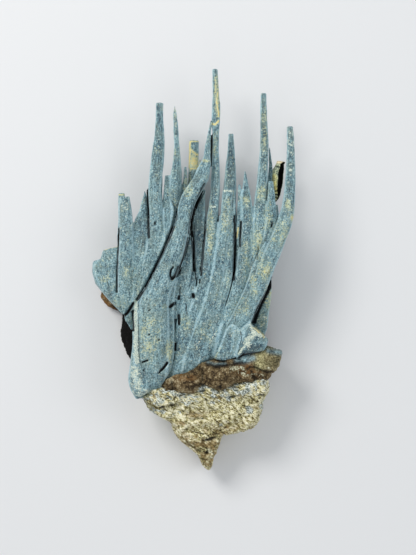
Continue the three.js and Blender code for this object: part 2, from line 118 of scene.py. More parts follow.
def cloud(points, size, seed=0):
    # value noise from -1 to 1: the eight corner numbers of each point's cell, blended by 3t^2 - 2t^3
    q = points / size
    cell = np.floor(q).astype(np.int64)
    t = q - cell
    t = t * t * (3 - 2 * t)
    total = np.zeros(len(points))
    for dx, dy, dz in np.ndindex(2, 2, 2):
        weight = (t[:, 0] if dx else 1 - t[:, 0]) * (t[:, 1] if dy else 1 - t[:, 1])
        weight = weight * (t[:, 2] if dz else 1 - t[:, 2])
        total += weight * cellNumber(cell[:, 0] + dx, cell[:, 1] + dy, cell[:, 2] + dz, seed)
    return total * 2 - 1


def blotches(points, recipe, fade=0.55):
    # recipe = stretch, size, octaves and seed: the sum of noises, each half the size and fade times the
    # strength of the one before, over the sum of strengths
    stretch, size, octaves, seed = recipe
    points = points * stretch
    total = np.zeros(len(points))
    strength, whole = 1.0, 0.0
    for k in range(octaves):
        total += strength * cloud(points + 11.3 * k, size / 2 ** k, seed + 31 * k)
        whole += strength
        strength *= fade
    return total / whole


def grains(points, size, seed=0):
    # distance to the nearest and second nearest of one stray point per cell, in cell sizes,
    # and the nearest one's own number
    q = points / size
    cell = np.floor(q).astype(np.int64)
    nearest, second = np.full((2, len(points)), 9.0)
    own = np.zeros(len(points))
    for step in np.ndindex(3, 3, 3):
        c = cell + step - 1
        stray = np.stack([cellNumber(*c.T, seed + k) for k in (1, 2, 3)], 1)
        gap = np.linalg.norm(c + stray - q, axis=1)
        closer = gap < nearest
        second = np.where(closer, nearest, np.minimum(second, gap))
        own = np.where(closer, cellNumber(*c.T, seed + 9), own)
        nearest = np.where(closer, gap, nearest)
    return nearest, second, own


def ramp(value, low, high):
    # 0 below low, 1 above high, 3t^2 - 2t^3 between
    t = np.clip((value - low) / (high - low), 0, 1)
    return t * t * (3 - 2 * t)


making = {
    # spacing of a spire's rings, how far its tip goes on for what the remesh takes off, and its least width
    "step": 0.3, "tipExtra": 0.15, "thinnest": 0.12,
    # spacing of the samples that a point looks up its route by, and how many points look at once
    "lookStep": 0.45, "batch": 20000,
}


def curveThrough(a, b, c, d, f):
    # Catmull-Rom curve from b (f = 0) to c (f = 1), with slopes (c - a) / 2 and (d - b) / 2
    bend = 2 * a - 5 * b + 4 * c - d
    return 0.5 * (2 * b + (c - a) * f + bend * f ** 2 + (3 * b - a - 3 * c + d) * f ** 3)


def smoothRoute(stations, step):
    # the curve through the stations (x, y, z, width), with a point about every step
    p = np.array(stations, float)
    p = np.vstack([2 * p[0] - p[1], p, 2 * p[-1] - p[-2]])
    length = np.linalg.norm(np.diff(p[1:-1, :3], axis=0), axis=1).sum()
    u = np.linspace(0, len(stations) - 1 - 1e-9, max(4, int(length / step)))
    i = u.astype(int)
    route = curveThrough(p[i], p[i + 1], p[i + 2], p[i + 3], (u - i)[:, None])
    route[:, 3] = np.maximum(route[:, 3], making["thinnest"])
    return route


def routeFrame(route):
    # tangent by central differences; side = tangent x up; front = side x tangent
    along = np.gradient(route[:, :3], axis=0)
    along /= np.linalg.norm(along, axis=1)[:, None]
    side = np.cross(along, (0, 0, 1.0))
    side /= np.linalg.norm(side, axis=1)[:, None]
    return along, side, np.cross(side, along)


def ringFaces(grid):
    # two triangles for each cell between a ring and the next, the last column joined to the first
    turned = np.roll(grid, -1, 1)
    lower = np.stack([grid[:-1], turned[:-1], turned[1:]], -1).reshape(-1, 3)
    upper = np.stack([grid[:-1], turned[1:], grid[1:]], -1).reshape(-1, 3)
    return lower, upper


def closeRings(rings, first, last, flip=False):
    # rings[row, column] joined into a closed shell, a fan from a point at each end; flip turns faces round
    rows, count = rings.shape[:2]
    grid = np.arange(rows * count).reshape(rows, count)
    lower, upper = ringFaces(grid)
    firstFan = np.stack([np.full(count, rows * count), np.roll(grid[0], -1), grid[0]], -1)
    lastFan = np.stack([np.full(count, rows * count + 1), grid[-1], np.roll(grid[-1], -1)], -1)
    faces = [lower, upper, firstFan, lastFan]
    if flip:
        faces = [f[:, [0, 2, 1]] for f in (upper, lower, firstFan, lastFan)]
    return np.vstack([rings.reshape(-1, 3), first, last]), np.vstack(faces)


def aroundRoute(route, side, front, across, out):
    # a ring at each route point: point = centre + across * side + out * front
    return route[:, None, :3] + across[..., None] * side[:, None] + out[..., None] * front[:, None]


def spire(stations, square, seed, sides=26, depth=0.92, lobes=0.05):
    # a ring carried along the route: across = width / 2 * cos a, out = depth * width / 2 * sin a, cos and sin
    # raised to 2 / square to flatten the faces, times 1 + lobes * two slow waves round the ring
    route = smoothRoute(stations, making["step"])
    along, side, front = routeFrame(route)
    route[-1, :3] += making["tipExtra"] * along[-1]
    a = np.linspace(0, 2 * np.pi, sides, endpoint=False)[None]
    cosine, sine = (np.sign(c) * np.abs(c) ** (2 / square) for c in (np.cos(a), np.sin(a)))
    s = np.arange(len(route))[:, None] * making["step"]
    wave = 1 + lobes * (np.sin(3 * a + 0.11 * s + seed) + 0.6 * np.sin(5 * a - 0.17 * s + 2.1 * seed))
    radius = route[:, 3:4] / 2 * wave
    rings = aroundRoute(route, side, front, radius * cosine, depth * radius * sine)
    return closeRings(rings, route[0, :3], route[-1, :3])


def spiresOf(values):
    # one spire per route, with the piece's own flatness
    return [spire(stations, values["square"], k + 1) for k, stations in enumerate(values["routes"].values())]


def roundOutline(outline, count):
    # closed curve through the outline's corners, pulled half way back to the straight edges
    p = np.array(outline, float)
    u = np.linspace(0, len(p), count, endpoint=False)
    i = u.astype(int)
    f = (u - i)[:, None]
    a, b, c, d = (p[(i + k) % len(p)] for k in (-1, 0, 1, 2))
    return 0.5 * curveThrough(a, b, c, d, f) + 0.5 * (b + (c - b) * f)


def boulder(shape, rows=40, count=160):
    # a sphere pressed into an outline: at latitude t the ring is the outline times sin t, drawn towards a
    # circle inside, and its height runs from back to front(x, y) as cos t raised to edge
    centre = np.array(shape["centre"], float)
    front, back = shape["front"], shape["back"]
    rim = roundOutline(shape["outline"], count) - centre
    far = np.linalg.norm(rim, axis=1)
    circle = rim / far[:, None] * np.minimum(far.mean(), far)[:, None]
    t = np.linspace(0, np.pi, rows + 2)[1:-1]
    reach = np.sin(t)[:, None, None]
    plan = (circle + (rim - circle) * reach ** 3) * reach
    x, y = plan[..., 0] + centre[0], plan[..., 1] + centre[1]
    lift = (np.sign(np.cos(t)) * np.abs(np.cos(t)) ** shape["edge"])[:, None]
    top = front(x, y)
    z = (top + back) / 2 + lift * (top - back) / 2
    return closeRings(np.stack([x, y, z], -1), [*centre, float(front(*centre))], [*centre, back], flip=True)


def nodeShell(name):
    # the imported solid's own corners, in millimetres, with the repeated ones merged
    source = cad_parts[name].data
    source.calc_loop_triangles()
    corners = np.zeros(len(source.loop_triangles) * 3, int)
    source.loop_triangles.foreach_get("vertices", corners)
    merged, place = np.unique(np.round(meshPoints(source) / mm, 4), axis=0, return_inverse=True)
    a, b, c = place.reshape(-1)[corners].reshape(-1, 3).T
    whole = (a != b) & (b != c) & (a != c)
    return merged, np.stack([a, b, c], 1)[whole]


def fillMesh(mesh, points, faces):
    # whole arrays straight into the mesh: corners, then one loop run per face
    size = faces.shape[1]
    mesh.vertices.add(len(points))
    mesh.vertices.foreach_set("co", np.ascontiguousarray(points, np.float32).ravel())
    mesh.loops.add(faces.size)
    mesh.loops.foreach_set("vertex_index", np.ascontiguousarray(faces, np.int32).ravel())
    mesh.polygons.add(len(faces))
    mesh.polygons.foreach_set("loop_start", np.arange(0, faces.size, size, dtype=np.int32))
    mesh.polygons.foreach_set("loop_total", np.full(len(faces), size, np.int32))
    mesh.update(calc_edges=True)


def growTogether(name, shells, values):
    # joins the closed shells, remeshes their union on a voxel grid and relaxes it, all in millimetres
    points = np.vstack([p for p, _ in shells])
    starts = np.cumsum([0] + [len(p) for p, _ in shells[:-1]])
    faces = np.vstack([f + start for (_, f), start in zip(shells, starts)])
    mesh = bpy.data.meshes.new(name + "Shells")
    fillMesh(mesh, points, faces)
    rough = bpy.data.objects.new(name + "Shells", mesh)
    bpy.context.scene.collection.objects.link(rough)
    remesh = rough.modifiers.new("union", "REMESH")
    remesh.mode = "VOXEL"
    remesh.voxel_size = values["voxel"]
    remesh.adaptivity = 0
    relax = rough.modifiers.new("relax", "SMOOTH")
    relax.factor = 0.5
    relax.iterations = values["relax"]
    grown = bpy.data.meshes.new_from_object(rough.evaluated_get(bpy.context.evaluated_depsgraph_get()))
    bpy.data.objects.remove(rough)
    bpy.data.meshes.remove(mesh)
    grown.name = name
    return grown


def meshPoints(mesh):
    # every corner as a row of x, y, z
    points = np.zeros(len(mesh.vertices) * 3)
    mesh.vertices.foreach_get("co", points)
    return points.reshape(-1, 3)


def meshNormals(mesh):
    # every corner's outward direction
    normals = np.zeros(len(mesh.vertices) * 3)
    mesh.vertex_normals.foreach_get("vector", normals)
    return normals.reshape(-1, 3)


def placePoints(mesh, points):
    # puts every corner where its row says
    mesh.vertices.foreach_set("co", np.ascontiguousarray(points, np.float32).ravel())
    mesh.update()


def followRoutes(points, routes):
    # for each point the route sample with the least (distance - radius): its route's number, the length
    # along it, the side and front offsets, and the radius there
    samples, frames, lengths, owner = [], [], [], []
    for k, stations in enumerate(routes):
        route = smoothRoute(stations, making["lookStep"])
        samples.append(route)
        frames.append(np.stack(routeFrame(route), 1))
        steps = np.linalg.norm(np.diff(route[:, :3], axis=0), axis=1)
        lengths.append(np.concatenate([[0], np.cumsum(steps)]))
        owner.append(np.full(len(route), k))
    samples, frames = np.vstack(samples), np.vstack(frames)
    lengths, owner = np.concatenate(lengths), np.concatenate(owner)
    centres = samples[:, :3]
    best = np.zeros(len(points), int)
    for start in range(0, len(points), making["batch"]):
        part = points[start:start + making["batch"]]
        squares = (part ** 2).sum(1)[:, None] - 2 * part @ centres.T + (centres ** 2).sum(1)[None]
        gap = np.sqrt(np.maximum(squares, 0)) - samples[None, :, 3] / 2
        best[start:start + making["batch"]] = gap.argmin(1)
    local = np.einsum("ij,ikj->ik", points - centres[best], frames[best])
    return owner[best], lengths[best] + local[:, 0], local[:, 1], local[:, 2], samples[best, 3] / 2


def nearLine(points, line):
    # distance in plan from each point to a run of straight pieces
    best = np.full(len(points), np.inf)
    line = np.array(line, float)
    for a, b in zip(line[:-1], line[1:]):
        run = b - a
        t = np.clip(((points[:, :2] - a) @ run) / (run @ run), 0, 1)
        best = np.minimum(best, np.linalg.norm(points[:, :2] - a - t[:, None] * run, axis=1))
    return best


def inPatches(points, patches, base=0.0):
    # the greatest amount of any patch (x, y, half width, half height, amount), fading as 1.25 - distance^2
    share = np.full(len(points), base)
    for x, y, rx, ry, amount in patches:
        far = ((points[:, 0] - x) / rx) ** 2 + ((points[:, 1] - y) / ry) ** 2
        share = np.maximum(share, amount * np.clip(1.25 - far, 0, 1))
    return share


def onLines(points, lines):
    # the greatest amount of any line (run in plan, half width, amount), fading as
    # exp(-(distance / half width)^2)
    share = np.zeros(len(points))
    for line, half, amount in lines:
        share = np.maximum(share, amount * np.exp(-(nearLine(points, line) / half) ** 2))
    return share


def addAttributes(mesh, **columns):
    # one number per corner under each name, for the finish to read
    for name, values in columns.items():
        data = mesh.attributes.new(name, "FLOAT", "POINT")
        data.data.foreach_set("value", np.ascontiguousarray(values, np.float32))


def finishPiece(name, mesh, material, node):
    # millimetres to metres, smooth shading, then its place in the frame
    placePoints(mesh, meshPoints(mesh) * mm)
    mesh.polygons.foreach_set("use_smooth", np.ones(len(mesh.polygons), bool))
    mesh.materials.clear()
    mesh.materials.append(material)
    piece = bpy.data.objects.new(name, mesh)
    bpy.context.scene.collection.objects.link(piece)
    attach(piece, "root")
    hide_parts(node)
    print("%s: %d faces" % (name, len(mesh.polygons)))


def linear(colour):
    # eight-bit screen colour to linear light
    return tuple(((c / 255 + 0.055) / 1.055) ** 2.4 if c > 10 else c / 255 / 12.92 for c in colour)


class Wires:
    # short helper for wiring one material; the methods that make a node return the socket to wire on
    def __init__(self, name):
        self.material = bpy.data.materials.new(name)
        self.material.use_nodes = True
        self.tree = self.material.node_tree
        self.shader = self.tree.nodes["Principled BSDF"]
        self.place = self.add("ShaderNodeTexCoord").outputs["Object"]

    def add(self, kind, **settings):
        # a new node of one kind, with its settings
        node = self.tree.nodes.new(kind)
        for key, value in settings.items():
            setattr(node, key, value)
        return node

    def put(self, value, socket):
        # a number or an eight-bit colour is set on the socket, and anything else is wired to it
        if isinstance(value, (int, float)):
            socket.default_value = value
        elif isinstance(value, tuple):
            socket.default_value = (*linear(value), 1)
        else:
            self.tree.links.new(value, socket)

    def noise(self, perMillimetre, detail=2.0, rough=0.5, stretch=(1, 1, 1), turn=0.0):
        # cloudy noise, mostly from 0.3 to 0.7, over the place in millimetres, turned and then times stretch
        mapping = self.add("ShaderNodeMapping", vector_type="TEXTURE")
        mapping.inputs["Rotation"].default_value = (0, 0, turn)
        mapping.inputs["Scale"].default_value = [mm / s for s in stretch]
        self.put(self.place, mapping.inputs["Vector"])
        noise = self.add("ShaderNodeTexNoise")
        self.put(perMillimetre, noise.inputs["Scale"])
        self.put(detail, noise.inputs["Detail"])
        self.put(rough, noise.inputs["Roughness"])
        self.put(mapping.outputs["Vector"], noise.inputs["Vector"])
        return noise.outputs["Fac"]

    def streaks(self, perAcross, perAlong):
        # noise drawn out along each route, from each point's place across and along it
        both = self.add("ShaderNodeCombineXYZ")
        self.put(self.product(self.attribute("across"), perAcross), both.inputs[0])
        self.put(self.product(self.attribute("along"), perAlong), both.inputs[1])
        noise = self.add("ShaderNodeTexNoise")
        self.put(1.0, noise.inputs["Scale"])
        self.put(both.outputs["Vector"], noise.inputs["Vector"])
        return noise.outputs["Fac"]

    def attribute(self, name):
        # the number that each corner keeps under this name
        return self.add("ShaderNodeAttribute", attribute_name=name).outputs["Fac"]

    def span(self, value, low, high, toLow=0.0, toHigh=1.0):
        # toLow at low and under, toHigh at high and over, 3t^2 - 2t^3 of the way between
        node = self.add("ShaderNodeMapRange", interpolation_type="SMOOTHSTEP")
        limits = {"Value": value, "From Min": low, "From Max": high, "To Min": toLow, "To Max": toHigh}
        for socket, number in limits.items():
            self.put(number, node.inputs[socket])
        return node.outputs["Result"]

    def sum(self, a, b, scale=1.0):
        # a + scale * b
        node = self.add("ShaderNodeMath", operation="MULTIPLY_ADD")
        for value, socket in zip((b, scale, a), node.inputs):
            self.put(value, socket)
        return node.outputs[0]

    def product(self, a, b):
        # a * b
        node = self.add("ShaderNodeMath", operation="MULTIPLY")
        self.put(a, node.inputs[0])
        self.put(b, node.inputs[1])
        return node.outputs[0]

    def speckled(self, place, recipe):
        # recipe = noise, share and span: place + share * noise, spread over the span
        noise, share, span = recipe
        return self.span(self.sum(place, self.noise(*noise), share), *span)

    def colours(self, value, stops):
        # the colour that lies at value between the stops
        node = self.add("ShaderNodeValToRGB")
        ends = node.color_ramp.elements
        while len(ends) < len(stops):
            ends.new(0.5)
        for end, (position, colour) in zip(ends, stops):
            end.position = position
            end.color = (*linear(colour), 1)
        self.put(value, node.inputs["Fac"])
        return node.outputs["Color"]

    def mix(self, amount, a, b):
        # a + amount * (b - a)
        node = self.add("ShaderNodeMix", data_type="RGBA")
        for value, socket in ((amount, node.inputs["Factor"]), (a, node.inputs[6]), (b, node.inputs[7])):
            self.put(value, socket)
        return node.outputs[2]

    def bump(self, height, distance, strength):
        # shades the surface as if it stood out by distance * height, in millimetres
        node = self.add("ShaderNodeBump")
        self.put(distance * mm, node.inputs["Distance"])
        self.put(strength, node.inputs["Strength"])
        self.put(height, node.inputs["Height"])
        self.put(node.outputs["Normal"], self.shader.inputs["Normal"])

    def finish(self, colour, values):
        # the whole colour, with the piece's own roughness and shine
        self.put(colour, self.shader.inputs["Base Color"])
        self.shader.inputs["Roughness"].default_value = values["roughness"]
        self.shader.inputs["Specular IOR Level"].default_value = values["specular"]


velvetPaint = {
    # noises: per millimetre, detail and roughness; streaks: per millimetre across and along; then what each
    # adds to the tone
    "noises": {"fine": (5.4, 1, 0.6, (1, 0.75, 1)), "coarse": (2.0, 1), "drift": (0.4, 2)},
    "streaks": (5.5, 0.7),
    # the rim's share: a painted sheen, lighter towards the ribs' edges
    "shares": {"fine": 1.65, "coarse": 0.45, "streaks": 0.9, "drift": 0.25, "rim": 0.62},
    "toneSpan": (1.24, 2.74),
    "tones": [
        (0.0, (50, 71, 84)), (0.2, (85, 111, 121)), (0.45, (116, 147, 155)), (0.7, (146, 179, 186)),
        (1.0, (190, 214, 214))],
    # spots: tint, noise per millimetre, its detail, the span of the noise that shows the tint, and its share
    "grey": ((132, 149, 140), 0.7, 2, (0.42, 0.66), 0.34),
    "fleck": ((210, 204, 146), 3.4, 1, (0.62, 0.7), 0.8), "fleckSpan": (0.1, 0.5),
    # painted highlights: small bright glints
    "paintedGlint": ((208, 220, 206), 4.4, 1, (0.63, 0.71), 0.7),
    # pit: painted shade, dark specks as in tiny pits
    "pit": ((44, 62, 70), 3.1, 1, (0.29, 0.35, 1.0, 0.0), 0.65),
    # edge: the painted sheen's pale blue along the ribs' edges
    "edge": (138, 180, 202), "sheenEdgeSpan": (0.1, 0.9), "sheenEdgeShare": 0.34,
    # dust: a tint all over a patch, then grains of it, then ochre where it is thickest
    "dustTint": (140, 160, 136), "tintShare": 0.42,
    "dust": [(0.38, (194, 196, 148)), (0.62, (218, 223, 184))], "dustNoise": (2.6, 2), "dustPatch": 0.75,
    "dustGrains": ((4.0, 2, 0.6), 1.7, (1.64, 1.9)), "dustShare": 0.56,
    "ochre": (230, 211, 144), "ochreGrains": ((3.2, 2), 0.9, (1.3, 1.62)), "ochreShare": 0.85,
    "frost": [(0.38, (146, 170, 166)), (0.64, (226, 232, 212))], "frostNoise": (4.8, 2, 0.7),
    "frostGrains": ((4.8, 1, 0.6), 1.6, (1.12, 1.5)),
    # deep: near-black painted shade in the cracks and the gaps between spires
    "deep": (5, 5, 6), "roughness": 0.85, "specular": 0.2,
    "sheen": 0.3, "sheenRoughness": 0.4, "sheenTint": (0.75, 0.93, 1.0, 1),
    "bumpNoise": (4.4, 2, 0.6), "bumpStreaks": 0.8, "bump": (0.06, 0.9),
}


def velvetFinish(name, values):
    # tone = fibre + specks + streaks + drift + rim, the rim a painted sheen; over it a grey drift, blue edges
    # of painted sheen, dust, frost, flecks, painted glints, dark specks of painted shade, and the painted
    # shade of cracks last
    w = Wires(name)
    rim, share = w.attribute("rim"), w.attribute("dustShare")
    parts = {part: w.noise(*recipe) for part, recipe in values["noises"].items()}
    parts.update(streaks=w.streaks(*values["streaks"]), rim=rim)
    tone = w.attribute("fibre")
    for part, amount in values["shares"].items():
        tone = w.sum(tone, parts[part], amount)

    def spots(body, key, within=None):
        # mixes in a tint where its noise lies in its span
        tint, perMillimetre, detail, span, amount = values[key]
        shown = w.span(w.noise(perMillimetre, detail), *span)
        shown = shown if within is None else w.product(shown, within)
        return w.mix(w.product(shown, amount), body, tint)

    body = spots(w.colours(w.span(tone, *values["toneSpan"]), values["tones"]), "grey")
    # painted sheen: pale blue along the ribs' edges
    body = w.mix(w.product(w.span(rim, *values["sheenEdgeSpan"]), values["sheenEdgeShare"]), body, values["edge"])
    body = w.mix(w.product(share, values["tintShare"]), body, values["dustTint"])
    dust = w.speckled(w.sum(w.attribute("dust"), share, values["dustPatch"]), values["dustGrains"])
    dustColour = w.colours(w.noise(*values["dustNoise"]), values["dust"])
    body = w.mix(w.product(dust, values["dustShare"]), body, dustColour)
    ochre = w.speckled(share, values["ochreGrains"])
    body = w.mix(w.product(ochre, values["ochreShare"]), body, values["ochre"])
    frost = w.speckled(w.attribute("frost"), values["frostGrains"])
    body = w.mix(frost, body, w.colours(w.noise(*values["frostNoise"]), values["frost"]))
    body = spots(body, "fleck", w.span(share, *values["fleckSpan"]))
    # painted highlights as glints, then dark specks of painted shade
    body = spots(spots(body, "paintedGlint"), "pit")
    # painted shade: near black at the cracks and webs
    w.finish(w.mix(w.attribute("crack"), body, values["deep"]), values)
    w.shader.inputs["Sheen Weight"].default_value = values["sheen"]
    w.shader.inputs["Sheen Roughness"].default_value = values["sheenRoughness"]
    w.shader.inputs["Sheen Tint"].default_value = values["sheenTint"]
    streaks = w.streaks(*values["streaks"])
    w.bump(w.sum(w.noise(*values["bumpNoise"]), streaks, values["bumpStreaks"]), *values["bump"])
    return w.material


velvet = velvetFinish("goethiteVelvet", velvetPaint)

